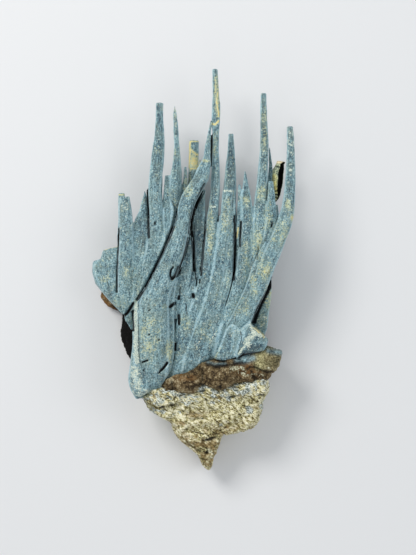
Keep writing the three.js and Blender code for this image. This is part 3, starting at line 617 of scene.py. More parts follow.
velvetLook = {
    # how far fibres, swellings and grain push the surface out, how deep the cracks are cut, how much
    # painted shade darkens the middle of the thin spires, and how much loose dust the back has
    "fibreDepth": 0.03, "swell": 0.07, "grain": 0.045, "cutDepth": 0.6, "thinShade": 0.14, "backDust": 0.55,
    # fibres: share, stretch along the route, size across and seed; the routes are this far apart in the noise
    "fibres": [(0.6, 0.09, 0.34, 3), (0.4, 0.16, 0.17, 5)], "apart": 7.7,
    # noises: stretch, size, octaves, seed; the stripes of the frost lie aslant
    "noise": {
        "swell": ((1, 0.45, 1), 1.6, 2, 7), "grain": ((1, 0.7, 1), 0.4, 2, 9), "waver": (1, 1.1, 2, 15),
        "dust": ((1, 0.7, 1), 0.9, 3, 21), "loose": ((1, 0.5, 1), 1.6, 2, 23)},
    "stripes": (1, 0.42, 2, 27), "lie": [(0.26, 0.51, 0), (-0.15, 0.86, 0), (0, 0, 0.5)],
    # how a mark fades in as the surface turns to the front
    "facing": {"cut": (-0.6, -0.1), "dust": (-0.35, 0.3), "line": (-0.1, 0.25), "black": (-0.05, 0.3)},
    "blackSpan": (0.16, 0.32),
    # the rim's line, a painted sheen along each rib's edge, is this share of the radius wide, and at most so
    # many millimetres; where it begins and ends, in such widths; and the radius over which a spire stops
    # being thin
    "rimWidth": (0.5, 0.3), "rimBegins": (0.1, 1.0), "rimEnds": (-1.6, -0.6), "thinSpan": (0.55, 1.2),
    # patches: middle x, y, half width, half height, amount
    # shade patches: painted shade, where the velvet is painted darker
    "shadePatches": [
        (3.5, 26.4, 0.7, 3.6, 0.35), (0.4, -11.4, 3.4, 2.0, 0.3), (5.7, 16.0, 0.7, 4.0, 0.5),
        (10.7, 20.5, 0.7, 5.0, 0.42), (0.0, 13.4, 1.2, 1.8, 0.25), (-5.2, 18.0, 1.2, 6.0, 0.2),
        (14.6, 16.0, 0.9, 4.0, 0.15), (-7.6, 5.6, 1.0, 2.6, 0.35), (-1.6, 10.5, 1.2, 2.5, 0.25),
        (-3.4, 3.0, 1.2, 2.4, 0.15), (1.2, 5.4, 0.8, 3.4, 0.35),
    ],
    "dustPatches": [
        (3.7, 26.2, 0.6, 3.6, 0.55), (3.3, 19.0, 0.6, 2.0, 0.34), (0.2, 16.6, 0.9, 1.3, 1.05),
        (2.7, 6.0, 0.7, 3.6, 0.48), (5.2, 7.5, 0.9, 4.4, 0.32), (10.4, 11.4, 1.1, 1.5, 0.56),
        (9.5, 4.0, 1.0, 2.8, 0.5), (11.3, 8.3, 0.8, 3.0, 0.4), (10.6, 0.2, 1.2, 2.4, 0.5),
        (9.1, -2.5, 0.7, 2.4, 0.52), (13.0, 5.6, 1.7, 2.6, 0.42), (8.1, 10.4, 0.6, 1.3, 0.45),
        (11.4, -4.4, 0.9, 3.0, 0.5), (10.6, -7.4, 1.0, 1.8, 0.5), (14.2, 9.8, 0.5, 1.0, 0.5),
        (14.9, 7.8, 0.4, 0.5, 1.0), (10.8, 20.0, 0.6, 7.0, 0.28), (7.9, 2.0, 0.8, 4.0, 0.3),
        (4.4, -2.0, 1.6, 2.4, 0.22), (7.2, -5.2, 2.0, 2.2, 0.3), (-6.2, -10.2, 2.4, 6.4, 0.3),
        (-6.5, -11.0, 0.5, 0.8, 0.6), (-6.4, -7.2, 0.5, 1.0, 0.42), (-5.0, -9.0, 0.5, 0.8, 0.45),
        (-4.2, -5.4, 0.4, 0.5, 0.6), (-4.4, -12.0, 0.5, 1.0, 0.45), (-5.4, -13.0, 0.4, 0.6, 0.5),
        (-3.4, -11.6, 0.7, 2.4, 0.5), (1.6, -9.2, 1.6, 1.6, 0.32), (-1.2, -7.6, 1.2, 1.4, 0.4),
        (-0.7, 12.6, 0.9, 2.4, 0.4), (-9.0, -1.0, 2.4, 3.2, 0.22), (-11.0, -5.0, 1.6, 1.6, 0.3),
        (-3.6, 18.0, 1.0, 5.0, 0.2),
    ],
    # lines: run in plan, half width, amount
    "dustLines": [
        ([(3.0, 22.0), (3.4, 21.9), (3.9, 22.5)], 0.17, 1.5), ([(3.4, 29.0), (3.45, 26.8)], 0.12, 1.1),
        ([(3.75, 26.7), (3.6, 25.2), (3.85, 23.9), (3.95, 23.1)], 0.2, 1.2),
        ([(1.3, 16.5), (2.5, 16.3)], 0.2, 0.9), ([(-0.45, 19.6), (-0.45, 18.0), (-0.6, 15.8)], 0.2, 1.4),
        ([(-0.5, 19.65), (0.9, 19.65)], 0.13, 1.4), ([(-0.3, 18.5), (0.2, 17.9), (0.9, 17.6)], 0.22, 1.3),
        ([(-0.4, 15.5), (0.8, 15.6)], 0.2, 1.3), ([(0.75, 17.2), (0.85, 15.8)], 0.2, 1.0),
        ([(6.85, 6.4), (6.6, 4.9)], 0.12, 1.5), ([(-11.1, 3.75), (-13.7, 3.15)], 0.13, 1.3),
        ([(-11.2, 11.4), (-10.2, 11.4)], 0.14, 1.1), ([(9.5, -8.7), (11.1, -10.2)], 0.2, 1.6),
    ],
    "frostPatches": [
        (-10.2, 9.9, 1.0, 1.7, 0.36), (-8.4, -16.4, 1.1, 2.8, 0.66), (-7.4, -18.4, 1.6, 1.1, 0.7),
        (-2.7, 22.6, 0.5, 2.6, 0.35), (-3.9, -16.0, 1.0, 0.9, 0.4), (14.7, 19.2, 0.8, 3.4, 0.42),
        (5.4, 8.6, 0.8, 2.6, 0.26), (7.2, -2.2, 1.5, 2.6, 0.24), (-5.0, 24.6, 0.7, 0.8, 0.35),
        (-12.6, -3.6, 1.0, 1.6, 0.25),
    ],
    "frostLines": [
        ([(-8.5, -4.7), (-8.45, -7.1), (-8.4, -9.7), (-8.4, -12.4), (-8.2, -13.6)], 0.36, 1.1),
        ([(-8.9, -14.2), (-8.9, -15.8), (-8.3, -17.4), (-7.3, -18.5)], 0.55, 0.55),
        ([(9.7, -7.6), (10.4, -6.9), (11.2, -7.3)], 0.2, 0.6), ([(10.2, -8.6), (10.9, -7.9)], 0.2, 0.5),
        ([(4.75, 11.9), (6.05, 11.9)], 0.13, 1.4), ([(2.65, 9.5), (3.45, 9.5)], 0.12, 1.3),
        ([(14.55, 15.8), (14.65, 15.8)], 0.13, 1.4), ([(14.55, 14.95), (14.65, 14.95)], 0.16, 1.4),
        ([(14.55, 14.2), (14.65, 14.2)], 0.12, 1.3), ([(-8.6, 7.4), (-9.4, 6.6)], 0.16, 0.6),
        ([(8.3, -1.6), (8.9, 1.2)], 0.18, 0.5), ([(0.3, -12.4), (1.0, -10.6), (1.9, -9.4)], 0.13, 0.45),
        ([(2.4, -11.0), (3.4, -9.2)], 0.13, 0.4),
    ],
    # the cracks: cut in, and painted near black there as shade
    "crackLines": [
        ([(-2.4, 8.9), (-2.25, 8.2), (-2.35, 7.6), (-2.8, 6.5)], 0.1, 0.6),
        ([(-2.85, 6.4), (-3.3, 5.2), (-3.6, 4.4)], 0.26, 1.0),
        ([(-3.6, 4.4), (-4.1, 3.2), (-4.9, 1.6), (-6.1, -0.8), (-7.1, -2.8), (-8.2, -4.3)], 0.22, 1.0),
        ([(1.9, 12.7), (1.3, 11.4), (0.72, 10.2), (0.4, 9.6)], 0.27, 1.0),
        ([(0.35, 9.5), (0.0, 8.3), (-0.2, 7.2), (-0.4, 5.6)], 0.21, 1.0),
        ([(-0.6, 4.8), (-1.0, 3.1), (-1.3, 2.0), (-1.7, 1.0), (-2.0, 0.4)], 0.14, 1.0),
        ([(-1.95, 0.4), (-2.1, -0.2), (-2.45, -0.75)], 0.29, 1.0),
        ([(-2.45, -0.75), (-3.0, -1.25)], 0.21, 1.0),
        ([(-3.1, -1.2), (-3.25, -0.6), (-3.1, 0.1), (-2.8, 0.5)], 0.13, 0.7),
        ([(-0.15, 5.9), (0.0, 4.9), (0.15, 2.8), (0.3, 0.0)], 0.2, 0.9),
        ([(0.4, -0.2), (0.6, -1.9)], 0.09, 0.5),
        ([(2.05, 8.0), (1.95, 6.4), (1.65, 3.1), (1.4, 0.8), (1.25, -0.7)], 0.13, 1.0),
        ([(4.0, 8.9), (3.8, 7.4)], 0.13, 0.6), ([(6.6, 9.8), (6.5, 6.8)], 0.1, 0.5),
        ([(6.15, 7.6), (6.25, 5.6)], 0.1, 0.5), ([(6.3, 8.2), (6.3, 5.6)], 0.1, 0.7),
        ([(6.35, 5.6), (6.35, 3.2), (6.25, 1.3), (6.15, -1.3)], 0.21, 1.0),
        ([(7.3, 7.3), (7.2, 5.8), (7.1, 3.6)], 0.13, 0.6), ([(11.9, 7.2), (11.8, 6.5)], 0.12, 0.5),
        ([(9.9, 3.8), (9.6, 1.6)], 0.08, 0.35),
        ([(12.15, -0.7), (11.55, -2.0), (10.45, -4.1), (9.55, -5.9), (8.95, -7.6)], 0.16, 0.8),
        ([(-6.8, 12.5), (-6.75, 10.6), (-6.6, 8.3), (-6.55, 5.0)], 0.19, 0.9),
        ([(-5.6, 7.2), (-5.6, 6.9)], 0.13, 0.5),
        ([(-11.05, 6.3), (-11.2, 3.8), (-11.35, 0.1), (-11.45, -3.2)], 0.16, 0.8),
        ([(-3.3, -5.4), (-2.7, -4.9)], 0.22, 0.8), ([(-2.0, -3.9), (-2.05, -4.2)], 0.21, 0.8),
        ([(-2.0, -6.7), (-2.0, -8.0)], 0.19, 0.8), ([(-2.55, -10.9), (-2.6, -11.9)], 0.16, 0.7),
        ([(1.2, 0.4), (1.2, -0.3)], 0.12, 0.6), ([(1.07, -1.3), (1.05, -1.9)], 0.11, 0.5),
        ([(-4.9, -10.2), (-4.97, -10.3)], 0.13, 0.55), ([(-6.3, -9.45), (-6.4, -9.5)], 0.13, 0.5),
        ([(-7.2, -14.75), (-7.25, -14.85)], 0.13, 0.5), ([(-2.6, -12.4), (-2.9, -13.6)], 0.08, 0.3),
        ([(0.1, -3.6), (0.15, -3.9)], 0.24, 0.8), ([(-1.0, -4.9), (-0.8, -6.5)], 0.08, 0.4),
        ([(-1.8, -2.5), (-1.95, -3.7)], 0.09, 0.4), ([(-4.95, -15.2), (-4.6, -14.8)], 0.12, 0.6),
        ([(-4.6, -14.8), (-4.2, -14.35), (-3.75, -13.75)], 0.19, 0.85),
        ([(-7.4, -13.6), (-6.6, -13.3)], 0.14, 0.65), ([(-6.4, -5.9), (-6.2, -5.8)], 0.12, 0.4),
        ([(-10.6, -7.0), (-9.8, -6.4), (-9.2, -5.5), (-8.9, -4.9)], 0.2, 0.8),
        ([(-7.95, -5.2), (-7.95, -9.0), (-7.9, -12.6), (-7.5, -14.4)], 0.08, 0.3),
        ([(-9.0, -6.1), (-8.85, -7.7), (-8.8, -8.9)], 0.18, 0.8),
        ([(11.3, -11.5), (10.7, -12.1)], 0.15, 0.7),
    ],
    # painted shade: black where the surface under them faces the front and lies between 6.4 and 8.6 high,
    # filling the shadowed gaps between spires
    "shadowWebAbove": (6.2, 6.6), "shadowWebBelow": (-8.7, -8.5),
    "shadowWebLines": [
        ([(2.6, 15.2), (2.75, 18), (2.85, 20.3)], 0.36, 1.0),
        ([(1.75, 12.3), (1.2, 11.1), (0.72, 10.2), (0.4, 9.6)], 0.4, 1.0),
        ([(12.3, -0.8), (11.7, -2.1), (10.65, -4.2), (9.8, -6.0), (9.2, -7.7)], 0.34, 1.0)],
}


def dressVelvet(mesh, routes, look, sheenLines=None):
    # pushes each point along its normal by fibres stretched along its own route, swellings and fine grain,
    # and straight back where it is cracked; keeps what the finish reads: rim = a painted sheen near a rib's
    # edge, less the painted shade, across and along = the place on its route, fibre, dust, dustShare, frost,
    # and the near-black painted shade of the cracks and webs
    points, normals = meshPoints(mesh), meshNormals(mesh)
    noise = {name: blotches(points, recipe) for name, recipe in look["noise"].items()}
    facing = {name: ramp(normals[:, 2], *span) for name, span in look["facing"].items()}
    owner, run, side, front, radius = followRoutes(points, routes)
    across = side + look["apart"] * owner
    local = np.stack([across, front, run], 1)
    fibre = sum(share * cloud(local * (1, 1, stretch), size, seed)
                for share, stretch, size, seed in look["fibres"])
    cut = onLines(points, look["crackLines"]) * facing["cut"]
    patch = inPatches(points, look["frostPatches"])
    push = (look["fibreDepth"] * fibre + look["swell"] * noise["swell"]
            + look["grain"] * noise["grain"] * (1 + 3 * patch))
    moved = points + normals * push[:, None]
    moved[:, 2] -= look["cutDepth"] * cut
    placePoints(mesh, moved)
    # rim: a painted sheen along each rib's edge, less painted shade in the middle of thin spires and in the
    # shade patches
    widthShare, widest = look["rimWidth"]
    inside = (radius - np.abs(side)) / np.minimum(widthShare * radius, widest)
    line = (1 - ramp(inside, *look["rimBegins"])) * ramp(inside, *look["rimEnds"])
    line = line * (0.8 + 0.5 * noise["waver"])
    rim = line - look["thinShade"] * (1 - ramp(radius, *look["thinSpan"])) * (1 - line)
    if sheenLines is not None:
        rim = onLines(points, sheenLines)
    stripes = blotches(points @ np.array(look["lie"]), look["stripes"])
    frost = np.maximum(patch * (0.75 + 0.9 * stripes),
                       onLines(points, look["frostLines"]) * facing["line"] * (0.95 + 0.35 * stripes))
    placed = np.maximum(inPatches(points, look["dustPatches"], 0.05) * facing["dust"],
                        onLines(points, look["dustLines"]) * facing["line"])
    loose = look["backDust"] * ramp(noise["loose"], 0.0, 0.5) * (1 - facing["dust"])
    # painted shade: black on the low fillers under these lines
    shadowWeb = (onLines(points, look["shadowWebLines"]) * ramp(-points[:, 2], *look["shadowWebBelow"])
           * ramp(points[:, 2], *look["shadowWebAbove"]))
    black = np.maximum(ramp(cut, *look["blackSpan"]), ramp(shadowWeb, *look["blackSpan"]))
    addAttributes(
        mesh, rim=rim - inPatches(points, look["shadePatches"]) + 1.3 * np.minimum(patch, 0.7) * stripes,
        across=across, along=run, fibre=0.3 + 0.26 * fibre + 0.16 * noise["grain"] + 0.05 * noise["swell"],
        dust=0.5 + 0.5 * noise["dust"], dustShare=np.maximum(placed, loose), frost=np.clip(frost, 0, 1),
        crack=black * facing["black"])


def velvetPiece(name, node, values):
    # the routes' spires and the piece's rounded masses, grown together and dressed
    masses = [boulder(shape) for shape in values.get("masses", {}).values()]
    mesh = growTogether(name, spiresOf(values) + masses, values)
    dressVelvet(mesh, list(values["routes"].values()), velvetLook)
    finishPiece(name, mesh, velvet, node)


print("finish: velvet")

diagonal = {
    "voxel": 0.13, "relax": 4, "square": 3.0,
    "routes": {
        "trunk": [
            (-6.8, -18.1, 7.4, 2.6), (-6.2, -15.6, 9.4, 4.2), (-6, -11.2, 10.3, 5), (-5.9, -7.4, 10.8, 4.8),
            (-5.4, -3.9, 11.3, 4), (-3.8, 0.1, 11.8, 3.2), (-2.65, 3.1, 11.8, 2.8), (-1.4, 7.2, 11.5, 2.2),
            (-0.7, 10.2, 11, 2.3), (0.7, 12.7, 10.6, 2.15), (1.35, 13.9, 10.4, 2.05),
            (1.75, 15.1, 10.2, 1.85), (2.05, 16, 10, 1.5), (2.2, 17, 9.8, 1.15), (2.3, 18.4, 9.5, 0.95),
            (2.45, 19.8, 9.2, 0.65), (2.62, 21.1, 8.9, 0.42), (2.85, 22.4, 8.7, 0.3)],
        "hook": [
            (-3.3, -1.2, 11, 1.2), (-2.4, 0.9, 11.2, 1.6), (-1.75, 2.9, 11.3, 1.5), (-1.15, 5, 11.3, 1.2),
            (-0.7, 7, 11.2, 0.9)],
        "paleEdge": [
            (-7.9, -19, 7.2, 1.6), (-8.5, -17.2, 8.2, 2), (-8.6, -15.2, 8.9, 1.8), (-8.3, -11.2, 9.8, 1.3),
            (-8.2, -7.7, 10.2, 1.3), (-7.7, -4.9, 10.6, 1.2), (-6.8, -2.8, 11, 0.8)],
        "innerRib": [
            (-4.4, -16.3, 8.4, 1.6), (-3.8, -13.4, 9.8, 1.9), (-3.6, -9.7, 10.2, 1.9),
            (-3.6, -5.9, 10.5, 1.8), (-3.3, -2.6, 10.8, 1.6), (-2.6, 0.1, 11.2, 1.2)],
        "buttress": [
            (-2.5, -7.1, 9, 1.8), (-2.2, -4.4, 9.4, 2.2), (-1.6, -1.7, 9.7, 2.6), (-1, 0.7, 9.8, 2),
            (-0.5, 3.1, 9.8, 1.2), (-0.3, 4.9, 9.8, 0.7)],
        "core": [(-6.4, -17.6, 6.2, 2.6), (-6, -12, 8.4, 3.8), (-5.6, -6, 9.2, 3), (-4.4, -1, 10.4, 2)],
    },
    "masses": {
        # the broad, nearly flat face of the foot, between the pale edge and the inner rib
        "face": {
            "outline": [
                (-8.4, -18.9), (-7.1, -18.5), (-6.2, -17.5), (-4.3, -16.6), (-3.1, -14.4), (-2.8, -10.6),
                (-2.8, -6.0), (-3.0, -2.4), (-4.0, 0.4), (-5.6, -0.6), (-7.5, -3.6), (-8.6, -5.4),
                (-8.7, -9.4), (-9.1, -13.0), (-9.3, -16.4)],
            "centre": (-5.9, -9.4), "back": 7.0, "edge": 0.22,
            "front": lambda x, y: (11.9 - 0.07 * (x + 5.6) ** 2 + 0.09 * np.minimum(y + 13.0, 0)
                                   + 0.05 * np.sin(2.6 * x)),
        },
    },
}
velvetPiece("diagonalSkin", "diagonal_stalactite", diagonal)

curved = {
    "voxel": 0.13, "relax": 4, "square": 3.0,
    "routes": {
        "outer": [
            (6.1, -10.9, 9.6, 1.9), (7.6, -7.7, 10.2, 2), (9, -4.7, 10.8, 2.1), (10.1, -1.7, 11.2, 2.4),
            (11.3, 1.3, 11.4, 2.4), (12.6, 4.3, 11.4, 2.3), (13.7, 7, 11.1, 2.2), (14.3, 9.5, 10.8, 1.9),
            (14.6, 12.5, 10.4, 1.6), (14.7, 15.8, 10.1, 1.3), (14.7, 18.8, 9.8, 1.1), (14.6, 21.4, 9.6, 1)],
        "inner": [
            (4.7, -10.4, 9.8, 1.6), (6.5, -7.1, 10.4, 1.6), (8.2, -3.5, 10.8, 1.5), (9.4, -0.2, 11, 1.5),
            (10.4, 2.5, 11, 1.1), (11.1, 4.1, 10.8, 0.6)],
    },
}
velvetPiece("curvedSkin", "curved_stalactite", curved)

centre = {
    "voxel": 0.14, "relax": 4, "square": 2.7,
    "routes": {
        "tallest": [
            (-2.5, -14.6, 8.6, 2), (-1.3, -11.2, 9, 2.1), (-0.1, -7.1, 9.4, 2), (1.1, -3.8, 9.7, 1.9),
            (2, -0.7, 9.8, 1.8), (2.65, 4.2, 9.7, 1.9), (3.05, 8.2, 9.3, 1.7), (3.15, 9.3, 9.3, 1.5),
            (3.45, 12.1, 9, 1.4), (3.5, 15.2, 8.7, 1.2), (3.5, 18.2, 8.5, 1), (3.5, 20.4, 8.4, 0.95),
            (3.5, 22.4, 8.2, 1.25), (3.55, 24.4, 8.1, 1.15), (3.5, 27, 8, 0.95), (3.4, 30.2, 7.8, 0.75)],
        "stepped": [
            (4.4, 1.6, 8.8, 1.9), (5.3, 5.3, 8.8, 2.1), (5.5, 9.1, 8.5, 1.9), (5.6, 11.9, 8.2, 1.9),
            (5.7, 14.8, 8, 1.6), (5.8, 17.8, 7.8, 1.2), (5.8, 20.5, 7.6, 0.75)],
        "ledgeRib": [
            (-0.1, -13.7, 9.4, 2.3), (1.1, -9.7, 9.9, 2.3), (2.5, -5.6, 10.2, 2), (3.5, -1.9, 10.3, 1.8),
            (4.4, 3.2, 10.3, 1.6), (5, 8.6, 9.8, 1.6), (5.3, 11.9, 9.5, 1.6)],
        "narrowRib": [
            (1.7, -13.1, 9.2, 2.3), (2.9, -8.9, 9.7, 2.2), (4.1, -4.9, 10, 1.7), (5.1, -1.4, 10.1, 1.5),
            (5.6, 3.4, 10, 1.3), (5.9, 8.4, 9.5, 1.1), (5.95, 11.8, 9.2, 0.9)],
        "fibrous": [
            (0.3, -3.4, 8.7, 1.2), (0.9, 0.1, 8.9, 1.3), (1.05, 4.6, 8.9, 1.4), (1.2, 8.3, 8.8, 1.4),
            (1.45, 10.4, 8.7, 0.9), (1.8, 12, 8.6, 0.35)],
        "footRib": [
            (-2.2, -13, 8.7, 1.8), (-1.7, -9.7, 9.4, 1.9), (-1.2, -6.6, 9.8, 1.7), (-0.4, -3.4, 9.9, 1.3),
            (0.2, -0.9, 9.8, 0.8)],
        "secondFootRib": [
            (-1, -11.9, 9.2, 1.6), (-0.4, -8.9, 9.7, 1.5), (0.2, -6.2, 10, 1.3), (1, -3.7, 10.1, 1.1),
            (1.5, -1.2, 10, 0.7)],
        # low fillers behind the gaps between spires, painted black as their shadow
        "rightShadowWeb": [(6.1, -1, 7.4, 1.2), (6.3, 4, 7.2, 1), (6.3, 8, 7, 0.8), (6.2, 10.8, 6.8, 0.5)],
        "leftShadowWeb": [(0.1, -1, 7.4, 1.2), (0.1, 2.5, 7.3, 1), (-0.1, 6, 7, 0.8)],
        "upperShadowWeb": [(0.3, 9.4, 7.6, 0.9), (1.1, 11.1, 7.5, 0.9), (1.6, 12.2, 7.4, 0.6)],
        "tipShadowWeb": [(2.6, 15.6, 7.9, 0.6), (2.75, 18, 7.9, 0.65), (2.9, 20.3, 7.9, 0.5)],
        "core": [(0, -15, 6.8, 5), (1.7, -8, 7.2, 5), (4.3, 3, 7.7, 2.8)],
        "leftCore": [(-2.6, -13.4, 7.4, 3), (-1.2, -8, 7.9, 3.2), (1.6, 3, 8.2, 1.8)],
    },
    "masses": {
        # the smooth apron that the ribs rise from: level, with low ridges that run up to the right
        "apron": {
            "outline": [
                (-4.5, -17.4), (-1.1, -15.9), (1.1, -14.3), (3.2, -13.5), (5.8, -13.6), (7.6, -13.4),
                (9.5, -12.5), (11.3, -11.6), (10.4, -9.7), (7.9, -7.1), (4.9, -5.9), (1.9, -5.9),
                (-0.7, -8.2), (-2.6, -11.2), (-4.1, -14.6)],
            "centre": (3.4, -10.6), "back": 5.0, "edge": 0.42,
            "front": lambda x, y: (10.65 + 0.16 * np.sin(2.2 * (x - 0.6 * y))
                                   + 0.1 * np.sin(1.1 * x + 0.9 * y)),
        },
        # what joins the ribs above the apron
        "bed": {
            "outline": [
                (-2.7, -12.2), (0.6, -12.6), (3.2, -12.0), (4.4, -8.6), (5.2, -5.0), (5.7, -1.0), (5.6, 3.2),
                (4.4, 5.2), (2.7, 5.4), (1.9, 2.4), (1.0, -0.4), (0.2, -2.4), (-0.9, -5.2), (-1.9, -8.4)],
            "centre": (2.0, -5.0), "back": 6.0, "edge": 0.25,
            "front": lambda x, y: (9.65 + 0.05 * (x - 1.6) - 0.03 * np.maximum(y, 0)
                                   + 0.12 * np.sin(2.4 * (x - 0.45 * y))),
        },
    },
}
velvetPiece("centreSkin", "centre_stalactites", centre)

right = {
    "voxel": 0.13, "relax": 4, "square": 2.7,
    "routes": {
        "sharp": [
            (3.4, -11.9, 9, 2.1), (5, -7.7, 9.4, 2.1), (6.5, -3.8, 9.7, 2.1), (7.5, 0.1, 9.8, 2.1),
            (8, 3.8, 9.7, 1.9), (8.2, 7.3, 9.4, 1.7), (8.15, 9.8, 9.1, 1.5), (8.05, 11.4, 8.8, 1.3),
            (8, 12.8, 8.6, 0.8), (7.9, 14.8, 8.5, 0.2)],
        "needle": [
            (7, -2.5, 9.1, 0.9), (6.8, 1.3, 9.2, 0.7), (6.8, 4.6, 9.2, 0.7), (6.95, 7.5, 9.1, 0.7),
            (7, 10.4, 8.9, 0.55), (7.05, 12.8, 8.7, 0.4)],
        "tall": [
            (5.3, -11, 8.8, 2.1), (7, -7.1, 9.2, 2.1), (8.5, -3.2, 9.4, 2), (9.4, 0.8, 9.5, 1.8),
            (9.9, 3.8, 9.4, 1.8), (10.1, 7.6, 9.1, 1.9), (10.2, 10.6, 8.8, 1.8), (10.5, 13.6, 8.5, 1.5),
            (10.7, 16.6, 8.3, 1.3), (10.8, 19.6, 8.1, 1.2), (10.7, 23.3, 7.9, 1), (10.7, 26.6, 7.8, 0.85)],
        "thorn": [
            (10.2, 5, 8.4, 1.1), (11.2, 11, 7.5, 0.8), (11.8, 15.1, 7.2, 0.6), (11.7, 17.2, 7.1, 0.4),
            (11.6, 18.5, 7.1, 0.2)],
        "rounded": [
            (10.4, 1.3, 9, 1.2), (11.1, 4.1, 9.6, 1.5), (11.7, 6.7, 9.8, 1.6), (11.8, 8.8, 9.8, 1.5),
            (11.8, 11, 9.6, 1.1), (11.7, 13.2, 9.4, 0.75)],
        "core": [(4.6, -11, 6.8, 3.4), (7, -6, 7.2, 3.4), (8.8, -1, 7.6, 2.8), (9.6, 3, 8, 2)],
    },
    "masses": {
        "bed": {
            "outline": [
                (3.6, -12.0), (6.2, -11.8), (7.8, -8.0), (9.6, -3.4), (10.6, 0.6), (11.0, 4.4), (10.4, 6.8),
                (8.6, 7.0), (7.4, 4.6), (6.9, 1.2), (6.3, -2.6), (5.2, -6.4)],
            "centre": (8.0, -2.0), "back": 6.0, "edge": 0.25,
            "front": lambda x, y: 9.5 - 0.03 * (y + 2.0) + 0.1 * np.sin(2.6 * (x - 0.4 * y)),
        },
    },
}
velvetPiece("rightSkin", "right_stalactites", right)

left = {
    "voxel": 0.14, "relax": 4, "square": 2.8,
    "routes": {
        "blunt": [
            (-9.5, -7.7, 7.6, 1.3), (-9.8, -4.4, 8.2, 2.2), (-10, -1.4, 8.6, 2.5), (-9.95, 3.1, 8.9, 2.2),
            (-10, 7.3, 8.9, 2), (-10.15, 9.6, 8.8, 1.8), (-10.2, 10.9, 8.8, 1.5)],
        "splinter": [
            (-10.4, -1, 7.4, 1.2), (-10.9, 4, 7.6, 0.9), (-10.75, 8.3, 7.8, 0.95), (-10.7, 11.5, 7.9, 0.95)],
        "blade": [
            (-8.5, -5.2, 6.9, 1.6), (-8.1, -1, 7.4, 2.4), (-7.95, 5.2, 7.8, 2.5), (-7.7, 7.3, 7.8, 2.05),
            (-7.5, 8.3, 7.7, 1.6), (-7.35, 9.2, 7.6, 1.15), (-7.3, 10.1, 7.5, 0.9), (-7.2, 11.2, 7.4, 0.5),
            (-7.25, 11.9, 7.3, 0.25)],
        "short": [
            (-8.6, -5.9, 8.6, 1.2), (-8.1, -2.2, 9, 1.5), (-7.7, 1.3, 9, 1.3), (-7.4, 3.8, 8.8, 0.9),
            (-7.2, 5.8, 8.5, 0.4)],
        "tall": [
            (-8, -5.6, 8, 1.9), (-7, -1.9, 8.8, 2.3), (-6, 2, 9.2, 2.4), (-5.5, 5.8, 9.2, 2.2),
            (-5.5, 9.1, 9, 2), (-5.7, 12.1, 8.8, 1.9), (-5.4, 15.8, 8.5, 1.9), (-5.2, 18.1, 8.3, 1.8),
            (-5, 20.2, 8.1, 1.5), (-5, 22.6, 7.9, 1.2), (-5, 25.1, 7.7, 1.1)],
        "companion": [
            (-5.6, 1.3, 8.4, 1.6), (-4.6, 4.6, 8.5, 1.8), (-4, 8.3, 8.3, 1.6), (-3.9, 11.3, 8, 1),
            (-3.8, 14.2, 7.8, 0.75)],
        "slender": [
            (-4.6, 1, 8, 1.3), (-3.2, 6.8, 7.9, 1.8), (-2.7, 9.8, 7.7, 1.8), (-2.6, 12.4, 7.4, 1.7),
            (-2.5, 14.5, 7.2, 1.6), (-2.4, 16.6, 7, 1.2), (-2.4, 18.8, 6.9, 0.85), (-2.5, 20.8, 6.8, 0.8),
            (-2.6, 22.6, 6.7, 0.7), (-2.7, 23.9, 6.6, 0.5), (-2.7, 24.8, 6.6, 0.2)],
        # low filler behind a gap, painted black as its shadow
        "shadowWeb": [(-6.6, 4.6, 6.6, 1.2), (-6.65, 9, 6.3, 1), (-6.7, 12.3, 6, 0.6)],
        "stub": [
            (-3.1, 4, 7.3, 1.3), (-1.5, 10.5, 6.7, 1.3), (-1.1, 13.9, 6.5, 0.7), (-1.1, 15.6, 6.5, 0.4)],
        "fragment": [(-9.2, -5, 6.9, 1.5), (-9.6, -7, 6.8, 1.3), (-9.2, -8.8, 6.7, 0.4)],
        "mass": [(-8.4, -6.4, 6.9, 2.6), (-8.4, -3, 7.3, 4), (-7.6, 1, 7.5, 4.2), (-6.2, 8, 7.4, 1.8)],
        "core": [(-5, -17, 6.4, 3.6), (-6.2, -12, 6.6, 3.4), (-7.6, -6, 6.8, 2.6)],
    },
    "masses": {
        # what joins them below: a slab that rises towards the diagonal one
        "slab": {
            "outline": [
                (-11.4, 1.6), (-11.3, -2.9), (-10.3, -4.3), (-9.2, -5.2), (-8.0, -3.9), (-6.8, -1.5),
                (-5.1, 1.8), (-3.5, 5.6), (-2.6, 8.8), (-3.2, 10.4), (-5.0, 9.0), (-6.8, 7.7), (-8.8, 7.3),
                (-9.3, 6.6), (-11.1, 6.2)],
            "centre": (-7.6, 2.6), "back": 6.0, "edge": 0.22,
            "front": lambda x, y: (9.0 + 0.1 * (x + 8) + 0.12 * np.sin(2.3 * (x - 0.1 * y))
                                   + 2.0 * np.exp(-((x - np.minimum(0.5 * y - 5.75, -2.3)) / 1.2) ** 2)),
        },
    },
}
velvetPiece("leftSkin", "left_stalactites", left)

